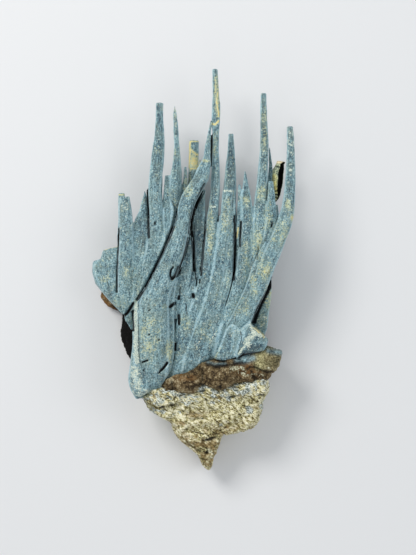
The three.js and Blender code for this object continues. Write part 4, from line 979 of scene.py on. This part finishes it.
rearLeft = {
    "voxel": 0.2, "relax": 3, "square": 2.2,
    "routes": {
        "behindBlunt": [
            (-6.5, -13, 4.5, 2.6), (-8.6, -6, 4.8, 2.5), (-9.7, 1, 5.2, 2), (-10.1, 8.5, 5.4, 1)],
        "behindBlade": [
            (-5.5, -13, 4.2, 2.6), (-7.2, -6, 4.4, 2.6), (-7.6, 0, 4.6, 2.2), (-7.5, 6.5, 4.6, 1)],
        "behindTall": [
            (-4.6, -13, 4.6, 2.6), (-6, -5, 5, 2.6), (-5.7, 3, 5.2, 2.2), (-5.4, 11, 5.3, 1.6),
            (-5.1, 19, 5.4, 0.8)],
        "behindSlender": [
            (-3.5, -13, 4.2, 2.6), (-4.4, -4, 4.6, 2.4), (-3.4, 4, 4.8, 2), (-2.8, 12, 4.9, 1.2),
            (-2.5, 17, 5, 0.6)],
        "ochreStub": [
            (-1.5, -13, 4.4, 2.4), (-1, 0, 5, 2.2), (-0.6, 8, 5, 1.8), (0, 13.6, 5, 1.6),
            (0.18, 19.75, 5, 1.55)],
        "sliver": [(-0.2, 6, 5.6, 1), (0.8, 12.5, 6, 0.7), (1.1, 16.8, 6, 0.3)],
    },
}
velvetPiece("rearLeftSkin", "rear_left_stalactites", rearLeft)

rearRight = {
    "voxel": 0.2, "relax": 3, "square": 2.2,
    "routes": {
        "behindTallest": [
            (0.8, -13, 4.4, 2.6), (1.2, -5, 4.8, 2.6), (2.6, 3, 5.2, 2.2), (3.4, 12, 5.4, 1.3),
            (3.6, 20, 5.5, 0.7)],
        "behindCentre": [
            (2.5, -13, 4.2, 2.6), (3.8, -5, 4.6, 2.6), (5, 3, 4.9, 2.2), (5.6, 10, 5, 1.4),
            (5.8, 16, 5.1, 0.7)],
        "behindSharp": [
            (4, -13, 4.4, 2.6), (6, -5, 4.8, 2.6), (7.5, 2, 5.2, 2), (7.9, 7, 5.4, 1.2), (8, 11, 5.5, 0.6)],
        "behindTallRight": [
            (5.5, -13, 4.4, 2.6), (8.3, -4, 4.9, 2.6), (10, 4, 5.2, 2.2), (10.3, 12, 5.4, 1.4),
            (10.6, 19, 5.5, 0.7)],
        "behindCurved": [
            (6.5, -13, 4.6, 2.6), (9, -6, 5.2, 2.4), (11.2, 0, 5.8, 2.2), (12.4, 5, 6.2, 1.7),
            (12.6, 9.9, 6.4, 0.8)],
        "flank": [
            (8.6, -11.8, 5.2, 2.4), (10, -8.8, 6.2, 2.4), (10.5, -6.4, 6.8, 2), (11.1, -3.9, 7, 1.5),
            (11.5, -1.8, 7.1, 0.9), (11.8, -0.4, 7.1, 0.4)],
    },
}
velvetPiece("rearRightSkin", "rear_right_stalactites", rearRight)

flakes = {
    "voxel": 0.1, "relax": 2,
    "grain": [[(5.4, -13, 10, 2), (6.2, -8, 11, 1)], [(6.4, -13, 10, 2), (9.4, -8, 11, 1)]],
    "lips": {
        # a rounded lobe, dished inside its raised upper rim
        "lobe": {
            "outline": [
                (3.2, -13.0), (4.4, -13.4), (5.8, -13.1), (6.1, -12.2), (6.5, -10.9), (6.8, -9.8),
                (7.1, -8.8), (6.5, -8.2), (5.8, -7.9), (5.0, -8.6), (4.6, -9.7), (4.0, -11.3)],
            "centre": (5.5, -10.6), "back": 9.4, "edge": 0.25,
            "front": lambda x, y: (
                11.35 + 0.35 * np.clip(np.hypot((x - 5.7) / 1.2, (y + 10.6) / 2.5), 0, 1) ** 4),
        },
        # a blade that rises to its right-hand edge
        "blade": {
            "outline": [
                (5.8, -13.1), (6.5, -12.8), (6.8, -11.9), (7.6, -10.7), (8.0, -10.0), (8.6, -9.4),
                (8.8, -8.3), (8.55, -7.4), (7.9, -8.0), (7.1, -8.8), (6.5, -10.6), (5.9, -11.9)],
            "centre": (7.2, -10.2), "back": 9.2, "edge": 0.2,
            "front": lambda x, y: 12.0 + 0.5 * (x - 7.3),
        },
        # a facet that falls away from the blade's crest, in fine steps
        "facet": {
            "outline": [
                (6.5, -13.0), (6.8, -13.1), (8.3, -12.5), (9.8, -12.2), (10.7, -11.9), (11.0, -11.3),
                (11.3, -10.4), (11.0, -10.0), (10.4, -9.5), (9.5, -8.7), (8.6, -8.2), (8.2, -9.4),
                (7.6, -10.7)],
            "centre": (9.0, -10.9), "back": 8.0, "edge": 0.2,
            "front": lambda x, y: (12.1 - 0.17 * (x - 9) + 0.33 * (y + 10.8)
                                   + 0.05 * np.sin(8 * (y + 0.2 * x))),
        },
        # the wedge and the ledge under the facet
        "wedge": {
            "outline": [(6.6, -13.2), (7.6, -13.8), (8.8, -13.7), (9.4, -13.0), (9.4, -12.4), (8.0, -12.7)],
            "centre": (8.2, -13.1), "back": 8.0, "edge": 0.3, "front": lambda x, y: 10.9 + 0 * x,
        },
    },
    # the flakes' edges: lines of painted sheen
    "sheenRims": [
        ([(3.9, -11.9), (4.5, -10.3), (5.0, -8.9), (5.8, -8.1), (6.6, -8.2), (7.1, -8.8)], 0.17, 1.2),
        ([(6.1, -8.9), (6.0, -10.4), (5.7, -12.0)], 0.2, 0.9), ([(6.5, -8.4), (5.9, -9.1)], 0.25, 0.6),
        ([(7.1, -8.8), (7.9, -8.1), (8.6, -7.5)], 0.36, 1.1),
        ([(6.4, -12.6), (6.9, -10.9), (7.6, -9.2)], 0.34, 0.9),
        ([(9.6, -11.9), (10.7, -11.6), (11.1, -10.7)], 0.3, 0.8), ([(9.4, -10.9), (10.2, -10.7)], 0.4, 0.5),
        ([(7.4, -13.3), (8.8, -13.0)], 0.25, 0.6),
    ],
    # what differs from the velvet of the spires
    "look": {
        "fibreDepth": 0.02, "swell": 0.03, "grain": 0.03,
        # painted shade: the facet that faces away from the light, under it and inside the lobe
        "shadePatches": [
            (7.6, -10.6, 5.0, 4.0, 0.14), (9.5, -11.4, 1.6, 0.8, 0.85), (5.6, -10.6, 0.8, 1.8, 0.4),
            (8.3, -12.2, 1.6, 0.5, 0.75), (7.3, -11.6, 0.5, 1.2, 0.4), (9.4, -9.9, 1.4, 0.8, 0.35),
        ],
        "frostLines": [
            ([(8.7, -8.0), (8.9, -8.9), (9.4, -9.4), (10.2, -9.7)], 0.3, 0.95),
            ([(9.0, -9.6), (8.5, -9.9), (7.9, -10.6), (8.3, -11.0)], 0.46, 1.0),
            ([(8.0, -10.9), (7.4, -11.6), (6.9, -12.4)], 0.18, 1.0),
        ],
        "dustLines": [
            ([(8.9, -8.3), (9.6, -8.9), (10.6, -9.9)], 0.13, 1.6),
            ([(3.3, -13.2), (4.2, -11.4)], 0.12, 0.6)],
        "crackLines": [
            ([(11.3, -11.5), (10.7, -12.1)], 0.15, 0.7),
            ([(7.3, -12.7), (8.2, -12.4), (9.3, -12.3), (10.5, -12.1)], 0.16, 0.5),
            ([(6.9, -13.0), (7.6, -12.4)], 0.16, 0.5), ([(7.1, -9.0), (7.3, -10.0), (7.0, -11.4)], 0.1, 0.3),
        ],
    },
}
mesh = growTogether("flakeSkin", [boulder(lip) for lip in flakes["lips"].values()], flakes)
dressVelvet(mesh, flakes["grain"], dict(velvetLook, **flakes["look"]), flakes["sheenRims"])
finishPiece("flakeSkin", mesh, velvet, "curled_flakes")

leftFlake = {
    "voxel": 0.13, "relax": 12, "grain": [[(-10.6, -7, 6, 3), (-12.4, 4, 6, 3)]],
    # its edge: a line of painted sheen
    "sheenRims": [([(-13.6, 2.9), (-15.1, 0.4), (-13.7, -3.4), (-11.2, -6.3)], 0.2, 0.5)],
}
mesh = growTogether("leftFlakeSkin", [nodeShell("left_flake")], leftFlake)
dressVelvet(mesh, leftFlake["grain"], velvetLook, leftFlake["sheenRims"])
finishPiece("leftFlakeSkin", mesh, velvet, "left_flake")

hollow = {
    "voxel": 0.08, "relax": 2,
    # x, y, z and width of the broken tube, its wall, and the middle and half angle of the slot it opens by
    "route": [
        (12.45, 10.4, 6.5, 0.35), (12.7, 11.3, 6.5, 1.05), (12.85, 12.4, 6.5, 1.7), (12.95, 13.6, 6.5, 2.05),
        (13.03, 14.8, 6.5, 2.05), (13.28, 15.7, 6.5, 1.65), (13.4, 16.55, 6.5, 1.25)],
    "wall": 0.18, "openAt": 0.5, "openHalf": 1.15, "step": 0.15, "sides": 40,
    # how far the grit pushes the surface out, and how deep inside and how high up the painted shade and the
    # lip begin
    "push": 0.03, "grit": (1, 0.4, 2, 83), "stain": (1, 0.4, 2, 85),
    "insideShadeSpan": (0.05, 0.12), "lipSpan": (16.1, 16.3),
    "skin": [(0.0, (70, 82, 78)), (0.35, (136, 150, 134)), (0.6, (172, 182, 152)), (1.0, (214, 218, 182))],
    "yellow": [
        ([(12.35, 14.3), (12.45, 13.0), (12.6, 11.9)], 0.3, 1.0), ([(13.0, 11.2), (12.7, 10.9)], 0.2, 0.6)],
    "warm": [(0.35, (196, 182, 104)), (0.65, (238, 226, 140))],
    # inside: near black, the painted shade within the tube
    "inside": (3, 3, 3), "lip": (238, 222, 184), "roughness": 0.85, "specular": 0.2,
    # noises: per millimetre, detail and roughness
    "gritNoise": (4.2, 2, 0.6), "skinSpan": (0.3, 0.68), "bumpNoise": (4.2, 2, 0.7), "bump": (0.08, 0.9),
}


def slottedTube(values):
    # an arc carried along the route, out at radius and back at radius - wall, with a slot on the side it
    # opens to, narrowed to a third at the top and over the lowest twelve rings
    route = smoothRoute(values["route"], values["step"])
    side, front = routeFrame(route)[1:]
    up = np.arange(len(route))
    half = values["openHalf"] * np.clip(np.minimum(up[::-1] / 3, up / 12), 0.3, 1)
    sides = values["sides"]
    a = np.linspace(values["openAt"] + half, values["openAt"] + 2 * np.pi - half, sides, axis=1)
    ring = np.concatenate([a, a[:, ::-1]], 1)
    radius = route[:, 3:4] / 2 - values["wall"] * np.repeat([0.0, 1.0], sides)[None]
    points = aroundRoute(route, side, front, radius * np.cos(ring), radius * np.sin(ring))
    grid = np.arange(ring.size).reshape(ring.shape)
    # the two ends, from the outer arc across to the inner one
    k = np.arange(sides - 1)
    caps = []
    for row, order in ((grid[0], [3, 2, 1, 0]), (grid[-1], [0, 1, 2, 3])):
        quad = np.stack([row[k], row[k + 1], row[-2 - k], row[-1 - k]], -1)[:, order]
        caps += [quad[:, [0, 1, 2]], quad[:, [0, 2, 3]]]
    return points.reshape(-1, 3), np.vstack([*ringFaces(grid), *caps])


def ochreFinish(values):
    # grey-green skin by noise, ochre where it is stained, a pale broken lip, and black painted shade inside
    w = Wires("ochreSkin")
    grit = w.noise(*values["gritNoise"])
    body = w.colours(w.span(grit, *values["skinSpan"]), values["skin"])
    body = w.mix(w.attribute("stain"), body, w.colours(grit, values["warm"]))
    body = w.mix(w.attribute("lip"), body, values["lip"])
    # painted shade: near black inside the tube
    w.finish(w.mix(w.attribute("inside"), body, values["inside"]), values)
    w.bump(w.noise(*values["bumpNoise"]), *values["bump"])
    return w.material


def dressTube(mesh, values):
    # pushes each point out by grit; keeps inside = how far within the tube, for the painted shade, lip = how
    # near its top, and stain
    points, normals = meshPoints(mesh), meshNormals(mesh)
    side, front, radius = followRoutes(points, [values["route"]])[2:]
    placePoints(mesh, points + normals * (values["push"] * blotches(points, values["grit"]))[:, None])
    stain = onLines(points, values["yellow"]) * (0.8 + 0.8 * blotches(points, values["stain"]))
    addAttributes(mesh, inside=ramp(radius - np.hypot(side, front), *values["insideShadeSpan"]),
                  lip=ramp(points[:, 1], *values["lipSpan"]), stain=np.clip(stain, 0, 1))


mesh = growTogether("hollowSkin", [slottedTube(hollow)], hollow)
dressTube(mesh, hollow)
finishPiece("hollowSkin", mesh, ochreFinish(hollow), "hollow_stalactite")

crust = {
    # how far lumps, crystals, grit, the whole front and the cracks push the surface out or in
    "voxel": 0.17, "relax": 4, "lump": 0.26, "crystal": 0.16, "grit": 0.15, "swell": 0.14, "cut": 0.35,
    # noises: stretch, size, octaves, seed; the crystals have a size and a seed
    "noise": {
        "lump": (1, 1.5, 3, 41), "grit": (1, 0.4, 2, 47), "pale": (1, 0.5, 2, 53), "torn": (1, 1.1, 3, 55)},
    "crystals": (0.8, 43),
    # the back stays flat, and the plate's edge reaches out to the left and down, as far as farthest
    "flatSpan": (0.1, 0.8), "plateReach": (0.55, 0.2), "farthest": 15.3,
    "tones": [
        (0.0, (26, 21, 16)), (0.25, (70, 57, 39)), (0.55, (103, 87, 60)), (0.8, (130, 113, 82)),
        (1.0, (176, 165, 134))],
    "rust": (122, 88, 50), "olive": [(0.36, (98, 92, 64)), (0.5, (158, 152, 110)), (0.64, (204, 198, 152))],
    "blue": [(0.4, (84, 106, 112)), (0.6, (150, 174, 176))],
    # deep: the near-black painted shade of the cracks, hollows and shadowed plate
    "pale": [(0.4, (92, 82, 60)), (0.5, (164, 160, 128)), (0.62, (228, 228, 202))], "deep": (9, 7, 6),
    "roughness": 0.6, "specular": 0.12,
    # noises of the finish: per millimetre, detail and roughness
    "gritNoise": (4.4, 2, 0.65), "gritShare": 2.2, "driftNoise": (1.3, 2), "driftShare": 0.45,
    "toneSpan": (0.86, 2.3), "rustNoise": (1.9, 3), "rustSpan": (0.38, 0.6),
    "paleGrains": ((3.0, 1), 1.3, (1.0, 1.3)), "paleNoise": (4.6, 2, 0.7),
    "bumpNoise": (3.4, 3, 0.7), "fineNoise": (8.0, 1), "fineShare": 0.5, "bump": (0.12, 1.0),
    # broken blocks that stand a little proud of the band
    "blocks": {
        "middle": {
            "outline": [
                (1.3, -14.6), (1.7, -16.3), (2.6, -17.3), (4.3, -17.7), (5.3, -17.1), (6.8, -15.9),
                (7.4, -14.7), (6.8, -13.7), (5.0, -13.9), (3.2, -13.7), (2.2, -13.9)],
            "centre": (4.2, -15.6), "back": 8.0, "edge": 0.4,
            "front": lambda x, y: 11.7 - 0.08 * (x - 4) ** 2 + 0.2 * np.sin(1.9 * y)},
        "leftBlock": {
            "outline": [
                (-3.1, -16.1), (-2.6, -17.5), (-1.3, -18.1), (0.1, -18.1), (1.0, -17.3), (1.7, -16.4),
                (1.4, -15.4), (-0.1, -15.2), (-1.4, -15.5)],
            "centre": (-0.8, -16.7), "back": 7.5, "edge": 0.4,
            "front": lambda x, y: 11.1 + 0.15 * np.sin(2.3 * x)},
        "smallBlock": {
            "outline": [(-4.9, -16.9), (-4.4, -17.6), (-3.4, -17.8), (-3.2, -17.0), (-4.0, -16.3)],
            "centre": (-4.0, -17.1), "back": 7.0, "edge": 0.4, "front": lambda x, y: 10.0 + 0 * x},
        "ledge": {
            "outline": [
                (8.9, -13.6), (9.6, -14.9), (10.8, -15.4), (11.9, -15.2), (12.6, -14.4), (13.1, -13.1),
                (13.3, -12.2), (12.4, -12.0), (11.4, -11.5), (10.4, -12.0), (9.6, -12.5)],
            "centre": (11.1, -13.6), "back": 6.5, "edge": 0.2,
            "front": lambda x, y: 10.4 - 0.2 * (x - 11) + 0.25 * (y + 13.5)},
    },
    "paleLines": [
        ([(5.9, -14.6), (7.0, -14.5), (7.6, -14.9)], 0.42, 1.0), ([(6.9, -15.2), (7.9, -15.6)], 0.3, 0.9),
        ([(11.3, -14.55), (11.75, -14.6)], 0.16, 1.4),
        ([(7.9, -15.7), (9.5, -15.4), (10.6, -15.6)], 0.22, 0.55),
        ([(-4.5, -18.0), (-2.8, -18.4)], 0.2, 0.6),
    ],
    "rustPatches": [
        (7.6, -14.6, 1.8, 1.3, 0.8), (-0.9, -15.9, 2.2, 0.6, 0.6), (9.4, -15.2, 1.2, 0.7, 0.5),
        (-12.8, -4.2, 2.4, 2.6, 0.9)],
    "plateEdge": [(-12.9, -4.2, 1.8, 2.2, 0.9), (-10.6, -10.6, 1.6, 3.4, 0.9)],
    "darkLines": [
        ([(1.8, -13.7), (3.4, -14.3), (6.0, -14.0), (7.8, -13.7)], 0.3, 0.7),
        ([(1.5, -14.5), (1.5, -16.4)], 0.22, 0.6), ([(-2.9, -17.9), (-3.1, -16.6)], 0.2, 0.7),
        ([(9.2, -14.4), (10.8, -15.1), (12.0, -15.1)], 0.22, 0.7),
        ([(12.7, -13.4), (12.3, -14.4)], 0.3, 0.3), ([(9.0, -15.8), (9.6, -16.4)], 0.3, 0.7),
        ([(-0.4, -17.6), (1.0, -17.0)], 0.35, 0.5),
    ],
    "blueLines": [
        ([(1.7, -13.5), (3.2, -13.95), (4.9, -13.9)], 0.2, 0.8),
        ([(6.6, -13.4), (7.8, -13.5), (9.0, -13.0)], 0.4, 1.1),
        ([(11.3, -12.0), (13.2, -12.35)], 0.34, 1.0)],
}


def crustFinish(values):
    # brown by lumps and grit, lighter on the raised lumps as painted light and darker in the low ones as
    # painted shade, rusty, olive and bluish places, pale grains, and the painted shade of the cracks last
    w = Wires("brownGoethite")
    grit = w.noise(*values["gritNoise"])
    tone = w.sum(w.attribute("lump"), grit, values["gritShare"])
    tone = w.sum(tone, w.noise(*values["driftNoise"]), values["driftShare"])
    body = w.colours(w.span(tone, *values["toneSpan"]), values["tones"])
    rust = w.span(w.noise(*values["rustNoise"]), *values["rustSpan"])
    body = w.mix(w.product(w.attribute("rust"), rust), body, values["rust"])
    for place in ("olive", "blue"):
        body = w.mix(w.attribute(place), body, w.colours(grit, values[place]))
    pale = w.speckled(w.attribute("pale"), values["paleGrains"])
    body = w.mix(pale, body, w.colours(w.noise(*values["paleNoise"]), values["pale"]))
    w.finish(w.mix(w.attribute("crack"), body, values["deep"]), values)
    fine = w.noise(*values["fineNoise"])
    w.bump(w.sum(w.noise(*values["bumpNoise"]), fine, values["fineShare"]), *values["bump"])
    return w.material


def dressCrust(mesh, values):
    # pushes each point out by lumps, crystals, grit and a swelling of the front, in at the cracks, and the
    # plate's edge outwards; keeps lump = height + crystal facets, a tone that is partly painted light and
    # shade, the places of each colour, and the near-black painted shade of the cracks, hollows and shadowed
    # plate
    points, normals = meshPoints(mesh), meshNormals(mesh)
    x, y, z = points.T
    noise = {name: blotches(points, recipe) for name, recipe in values["noise"].items()}
    lump = noise["lump"]
    near, second, own = grains(points, *values["crystals"])
    shown = ramp(z, 6.0, 8.0)
    flatBack = ramp(z, *values["flatSpan"])
    push = (values["lump"] * lump + values["crystal"] * (0.5 - near) + values["grit"] * noise["grit"]
            + values["swell"] * shown)
    cut = onLines(points, values["darkLines"]) * ramp(normals[:, 2], 0, 0.4) * shown
    moved = points + normals * ((push - values["cut"] * cut) * flatBack)[:, None]
    outwards = inPatches(points, values["plateEdge"]) * flatBack
    moved[:, 0] -= values["plateReach"][0] * outwards
    moved[:, 1] -= values["plateReach"][1] * outwards
    moved[:, 2] = np.maximum(moved[:, 2], 0)
    moved[:, 0] = np.clip(moved[:, 0], -values["farthest"], values["farthest"])
    placePoints(mesh, moved)
    # painted shade: the part of the plate between the left flake and the foot is painted black as its deep
    # shadow, with a ragged edge
    torn = y + 1.6 * noise["torn"]
    plateShadow = ramp(-x, 8.0, 8.8) * ramp(torn, -15.4, -13.4) * ramp(-torn, 5.2, 6.8)
    plateShadow = plateShadow * ramp(normals[:, 2], -0.5, 0.5)
    # painted shade: darker in the low places of the lumps
    hollows = 0.6 * ramp(-lump, 0.3, 0.6) * shown
    facet = 0.3 * (own - 0.5) - 0.3 * (1 - ramp(second - near, 0.02, 0.2))
    olive = ramp(x + 0.4 * lump, 8.8, 9.6) * (1 - 0.6 * ramp(x + 0.8 * lump, 10.3, 11.6))
    pale = onLines(points, values["paleLines"]) * (0.6 + 0.9 * noise["pale"]) * 1.4
    addAttributes(
        mesh, lump=0.35 + 0.5 * lump + 0.5 * (0.5 - near) + facet,
        crack=np.clip(np.maximum(plateShadow, np.maximum(cut * 1.2, hollows)), 0, 1),
        rust=inPatches(points, values["rustPatches"]) * np.maximum(shown, ramp(-x, 10.6, 11.4)),
        olive=olive * ramp(y + 0.3 * lump, -15.1, -14.5) * shown,
        blue=onLines(points, values["blueLines"]) * shown,
        pale=np.clip(pale, 0, 1) * shown)


shells = [nodeShell("brown_crust")] + [boulder(block, 24, 90) for block in crust["blocks"].values()]
mesh = growTogether("crustSkin", shells, crust)
dressCrust(mesh, crust)
finishPiece("crustSkin", mesh, crustFinish(crust), "brown_crust")

matrix = {
    # how far lumps, flakes, grains, grit, the upper edge and the pits push the surface out or in
    "voxel": 0.14, "relax": 4,
    "lump": 0.3, "flake": 0.16, "grain": 0.12, "grit": 0.07, "upper": 0.15, "pit": 0.5,
    # flakes lie along a line that falls to the right: its direction, and the stretch along, across and deep
    "lie": (0.86, -0.51), "stretch": (0.45, 1.3, 1),
    # noises: stretch, size, octaves, seed; the grains have a stretch, a size and a seed
    "noise": {"lump": (1, 1.7, 3, 61), "flake": (1, 0.6, 2, 62), "veil": ((1.4, 1, 1), 0.5, 2, 71),
              "broken": (1, 0.5, 2, 73)},
    "fineGrit": (1, 0.3, 2, 67), "large": ((1.4, 1, 1), 0.52, 63), "small": ((1.6, 1, 1), 0.32, 65),
    "flatSpan": (0.1, 0.8), "turn": -0.53,
    "tones": [
        (0.04, (48, 38, 20)), (0.2, (103, 92, 58)), (0.4, (155, 147, 99)), (0.63, (199, 192, 136)),
        (0.93, (248, 244, 214))],
    "brown": [(0.32, (60, 42, 20)), (0.66, (192, 166, 110))],
    "cool": [(0.38, (66, 72, 66)), (0.48, (156, 168, 156)), (0.58, (240, 246, 238))],
    # deep: the dark painted shade in pits and low places
    "seam": (56, 50, 34), "deep": (24, 19, 13), "roughness": 0.82, "specular": 0.25,
    # noises of the finish: per millimetre, detail, roughness and stretch
    "gritNoise": (5.0, 2, 0.65, (0.45, 1.4, 1)), "gritShare": 2.6, "toneSpan": (0.9, 2.1),
    "brownNoise": (1.2, 3), "brownSpan": (0.36, 0.6),
    "coolGrains": ((3.2, 1), 1.2, (0.9, 1.25)), "coolNoise": (4.6, 2, 0.7, (0.6, 1.3, 1)),
    "seamNoise": (2.7, 2, 0.6, (0.4, 1.5, 1)), "seamSpan": (0.33, 0.4, 1.0, 0.0), "seamShare": 0.8,
    "bumpNoise": (3.8, 3, 0.75, (0.6, 1.3, 1)), "fineNoise": (8.0, 1), "fineShare": 0.5, "bump": (0.11, 1.0),
    # the shoulder between the crust and the foot, and the point
    "blocks": {
        "shoulder": {
            "outline": [
                (-7.5, -19.2), (-6.6, -20.2), (-4.6, -20.4), (-1.8, -19.6), (-1.8, -18.5), (-3.4, -17.9),
                (-4.9, -17.4), (-6.1, -17.7)],
            "centre": (-4.6, -19.0), "back": 5.0, "edge": 0.35, "front": lambda x, y: 10.5 + 0.2 * (x + 4.6)},
        "point": {
            "outline": [
                (-3.2, -23.6), (-2.4, -25.4), (-0.6, -26.9), (0.6, -28.0), (1.4, -29.4), (2.3, -30.6),
                (2.9, -29.9), (3.3, -27.7), (4.1, -25.4), (4.4, -24.0), (1.1, -22.8)],
            "centre": (1.6, -26.0), "back": 0.4, "edge": 0.4, "front": lambda x, y: 9.7 + 0.38 * (y + 20.5)},
    },
    # lines: run in plan, half width, amount; patches: middle x, y, half width, half height, amount
    "pits": [
        ([(-4.0, -19.2), (-3.4, -19.0)], 0.22, 1.0),
        ([(-2.6, -18.9), (-1.0, -18.5), (0.5, -18.1), (2.0, -17.9)], 0.15, 0.7),
        ([(-4.9, -20.6), (-2.2, -20.2)], 0.2, 0.7), ([(-0.1, -22.4), (1.6, -22.3)], 0.18, 0.9),
        ([(-1.0, -21.7), (2.0, -21.4)], 0.14, 0.5), ([(3.4, -19.1), (4.7, -19.0)], 0.2, 0.5),
        ([(5.6, -19.1), (7.0, -18.7)], 0.16, 0.7), ([(10.0, -18.7), (11.0, -18.7)], 0.22, 1.0),
        ([(1.6, -25.8), (3.4, -25.4)], 0.3, 0.7), ([(2.1, -27.8), (2.4, -27.6)], 0.35, 1.0),
        ([(-6.2, -18.6), (-5.0, -18.9), (-4.2, -19.7)], 0.12, 0.5),
        ([(-5.8, -19.6), (-4.4, -20.3)], 0.1, 0.4), ([(2.7, -21.2), (5.6, -20.6)], 0.1, 0.35),
        ([(7.2, -21.8), (9.2, -22.3)], 0.12, 0.4), ([(-0.4, -24.2), (1.8, -24.7)], 0.12, 0.5),
        ([(3.6, -22.7), (4.4, -23.7), (5.4, -24.2)], 0.12, 0.5),
    ],
    "coolPatches": [
        (1.6, -17.6, 1.0, 0.6, 1.0), (3.2, -18.3, 0.9, 0.8, 1.0), (5.4, -19.1, 0.7, 0.5, 1.0),
        (7.9, -17.9, 1.4, 0.8, 0.8), (-5.4, -21.2, 1.6, 1.0, 0.9), (-2.6, -21.6, 1.2, 1.0, 0.7),
        (8.6, -20.9, 0.9, 0.9, 0.8), (3.3, -19.6, 1.6, 0.5, 0.6), (4.2, -23.2, 0.5, 0.5, 0.7),
        (-0.6, -19.8, 1.6, 0.6, 0.6), (10.6, -20.6, 0.6, 1.6, 0.7),
    ],
    "brownPatches": [
        (5.4, -23.6, 0.7, 0.3, 1.1), (-1.6, -23.0, 0.9, 0.4, 0.9), (4.0, -19.0, 1.0, 0.4, 0.8),
        (0.6, -21.6, 2.2, 0.6, 0.7), (9.6, -20.9, 0.8, 0.7, 0.5), (-5.2, -18.6, 1.2, 0.6, 0.6),
        (7.2, -18.7, 0.8, 0.4, 0.6), (2.4, -26.0, 1.6, 1.0, 0.9),
    ],
}


def rockFinish(values):
    # tan to white by grains, partly painted light and shade, and grit, browner below, cooler by the crust,
    # dark seams, and the painted shade of pits and low places last
    w = Wires("granularRock")

    def lying(key):
        # noise that is drawn out along the rock's own slanting line
        return w.noise(*values[key], values["turn"])

    grit = lying("gritNoise")
    tone = w.span(w.sum(w.attribute("grain"), grit, values["gritShare"]), *values["toneSpan"])
    body = w.colours(tone, values["tones"])
    brown = w.span(w.noise(*values["brownNoise"]), *values["brownSpan"])
    body = w.mix(w.product(w.attribute("brown"), brown), body, w.colours(grit, values["brown"]))
    cool = w.speckled(w.attribute("cool"), values["coolGrains"])
    body = w.mix(cool, body, w.colours(lying("coolNoise"), values["cool"]))
    seam = w.product(w.span(lying("seamNoise"), *values["seamSpan"]), values["seamShare"])
    body = w.mix(seam, body, values["seam"])
    w.finish(w.mix(w.attribute("crack"), body, values["deep"]), values)
    fine = w.noise(*values["fineNoise"])
    w.bump(w.sum(lying("bumpNoise"), fine, values["fineShare"]), *values["bump"])
    return w.material


def dressRock(mesh, values):
    # pushes each point out by lumps, flakes, grains and grit, most along the upper edge, and in at the pits;
    # keeps grain = the grains' own numbers - seams + flakes + lumps, partly painted shade in the pushed-in
    # seams and painted light on raised flakes and lumps, the places of cool and brown, and the painted shade
    # of pits and low places
    points, normals = meshPoints(mesh), meshNormals(mesh)
    x, y, z = points.T
    ux, uy = values["lie"]
    along, across, deep = values["stretch"]
    lying = np.stack([(x * ux + y * uy) * along, (y * ux - x * uy) * across, z * deep], 1)
    noise = {name: blotches(lying, recipe) for name, recipe in values["noise"].items()}
    lump, flake = noise["lump"], noise["flake"]
    large, small = (grains(lying * values[key][0], *values[key][1:]) for key in ("large", "small"))
    seam = 1 - ramp(large[1] - large[0], 0.02, 0.28)
    pits = onLines(points, values["pits"]) * ramp(normals[:, 2], -0.2, 0.3)
    upper = ramp(y + 0.1 * x, -19.5, -17.5)
    grit = blotches(points, values["fineGrit"])
    push = (values["lump"] * lump + values["flake"] * flake + values["grain"] * (0.4 - seam)
            + values["grit"] * grit + values["upper"] * upper - values["pit"] * pits)
    moved = points + normals * (push * ramp(z, *values["flatSpan"]))[:, None]
    moved[:, 2] = np.maximum(moved[:, 2], 0)
    placePoints(mesh, moved)
    veil = ramp(noise["veil"], -0.2, 0.1)
    chill = ramp(y - 0.12 * x, -21.5, -18.5) * 0.62
    # painted shade: dark in the pits and where the lumps and flakes are low
    broken = ramp(pits * (0.75 + 0.9 * noise["broken"]), 0.3, 0.6)
    addAttributes(
        mesh, grain=0.45 * large[2] + 0.45 * small[2] - 0.28 * seam + 0.2 * flake + 0.15 * lump,
        cool=np.clip(np.maximum(inPatches(points, values["coolPatches"]), chill) * veil, 0, 0.9),
        brown=np.maximum(ramp(-y, 21.0, 26.5) * 0.9, inPatches(points, values["brownPatches"])),
        crack=np.clip(0.55 * ramp(-lump - 0.7 * flake, 0.4, 0.85) + broken, 0, 1) * 0.95)


shells = [nodeShell("matrix")] + [boulder(block, 24, 90) for block in matrix["blocks"].values()]
mesh = growTogether("matrixSkin", shells, matrix)
dressRock(mesh, matrix)
finishPiece("matrixSkin", mesh, rockFinish(matrix), "matrix")
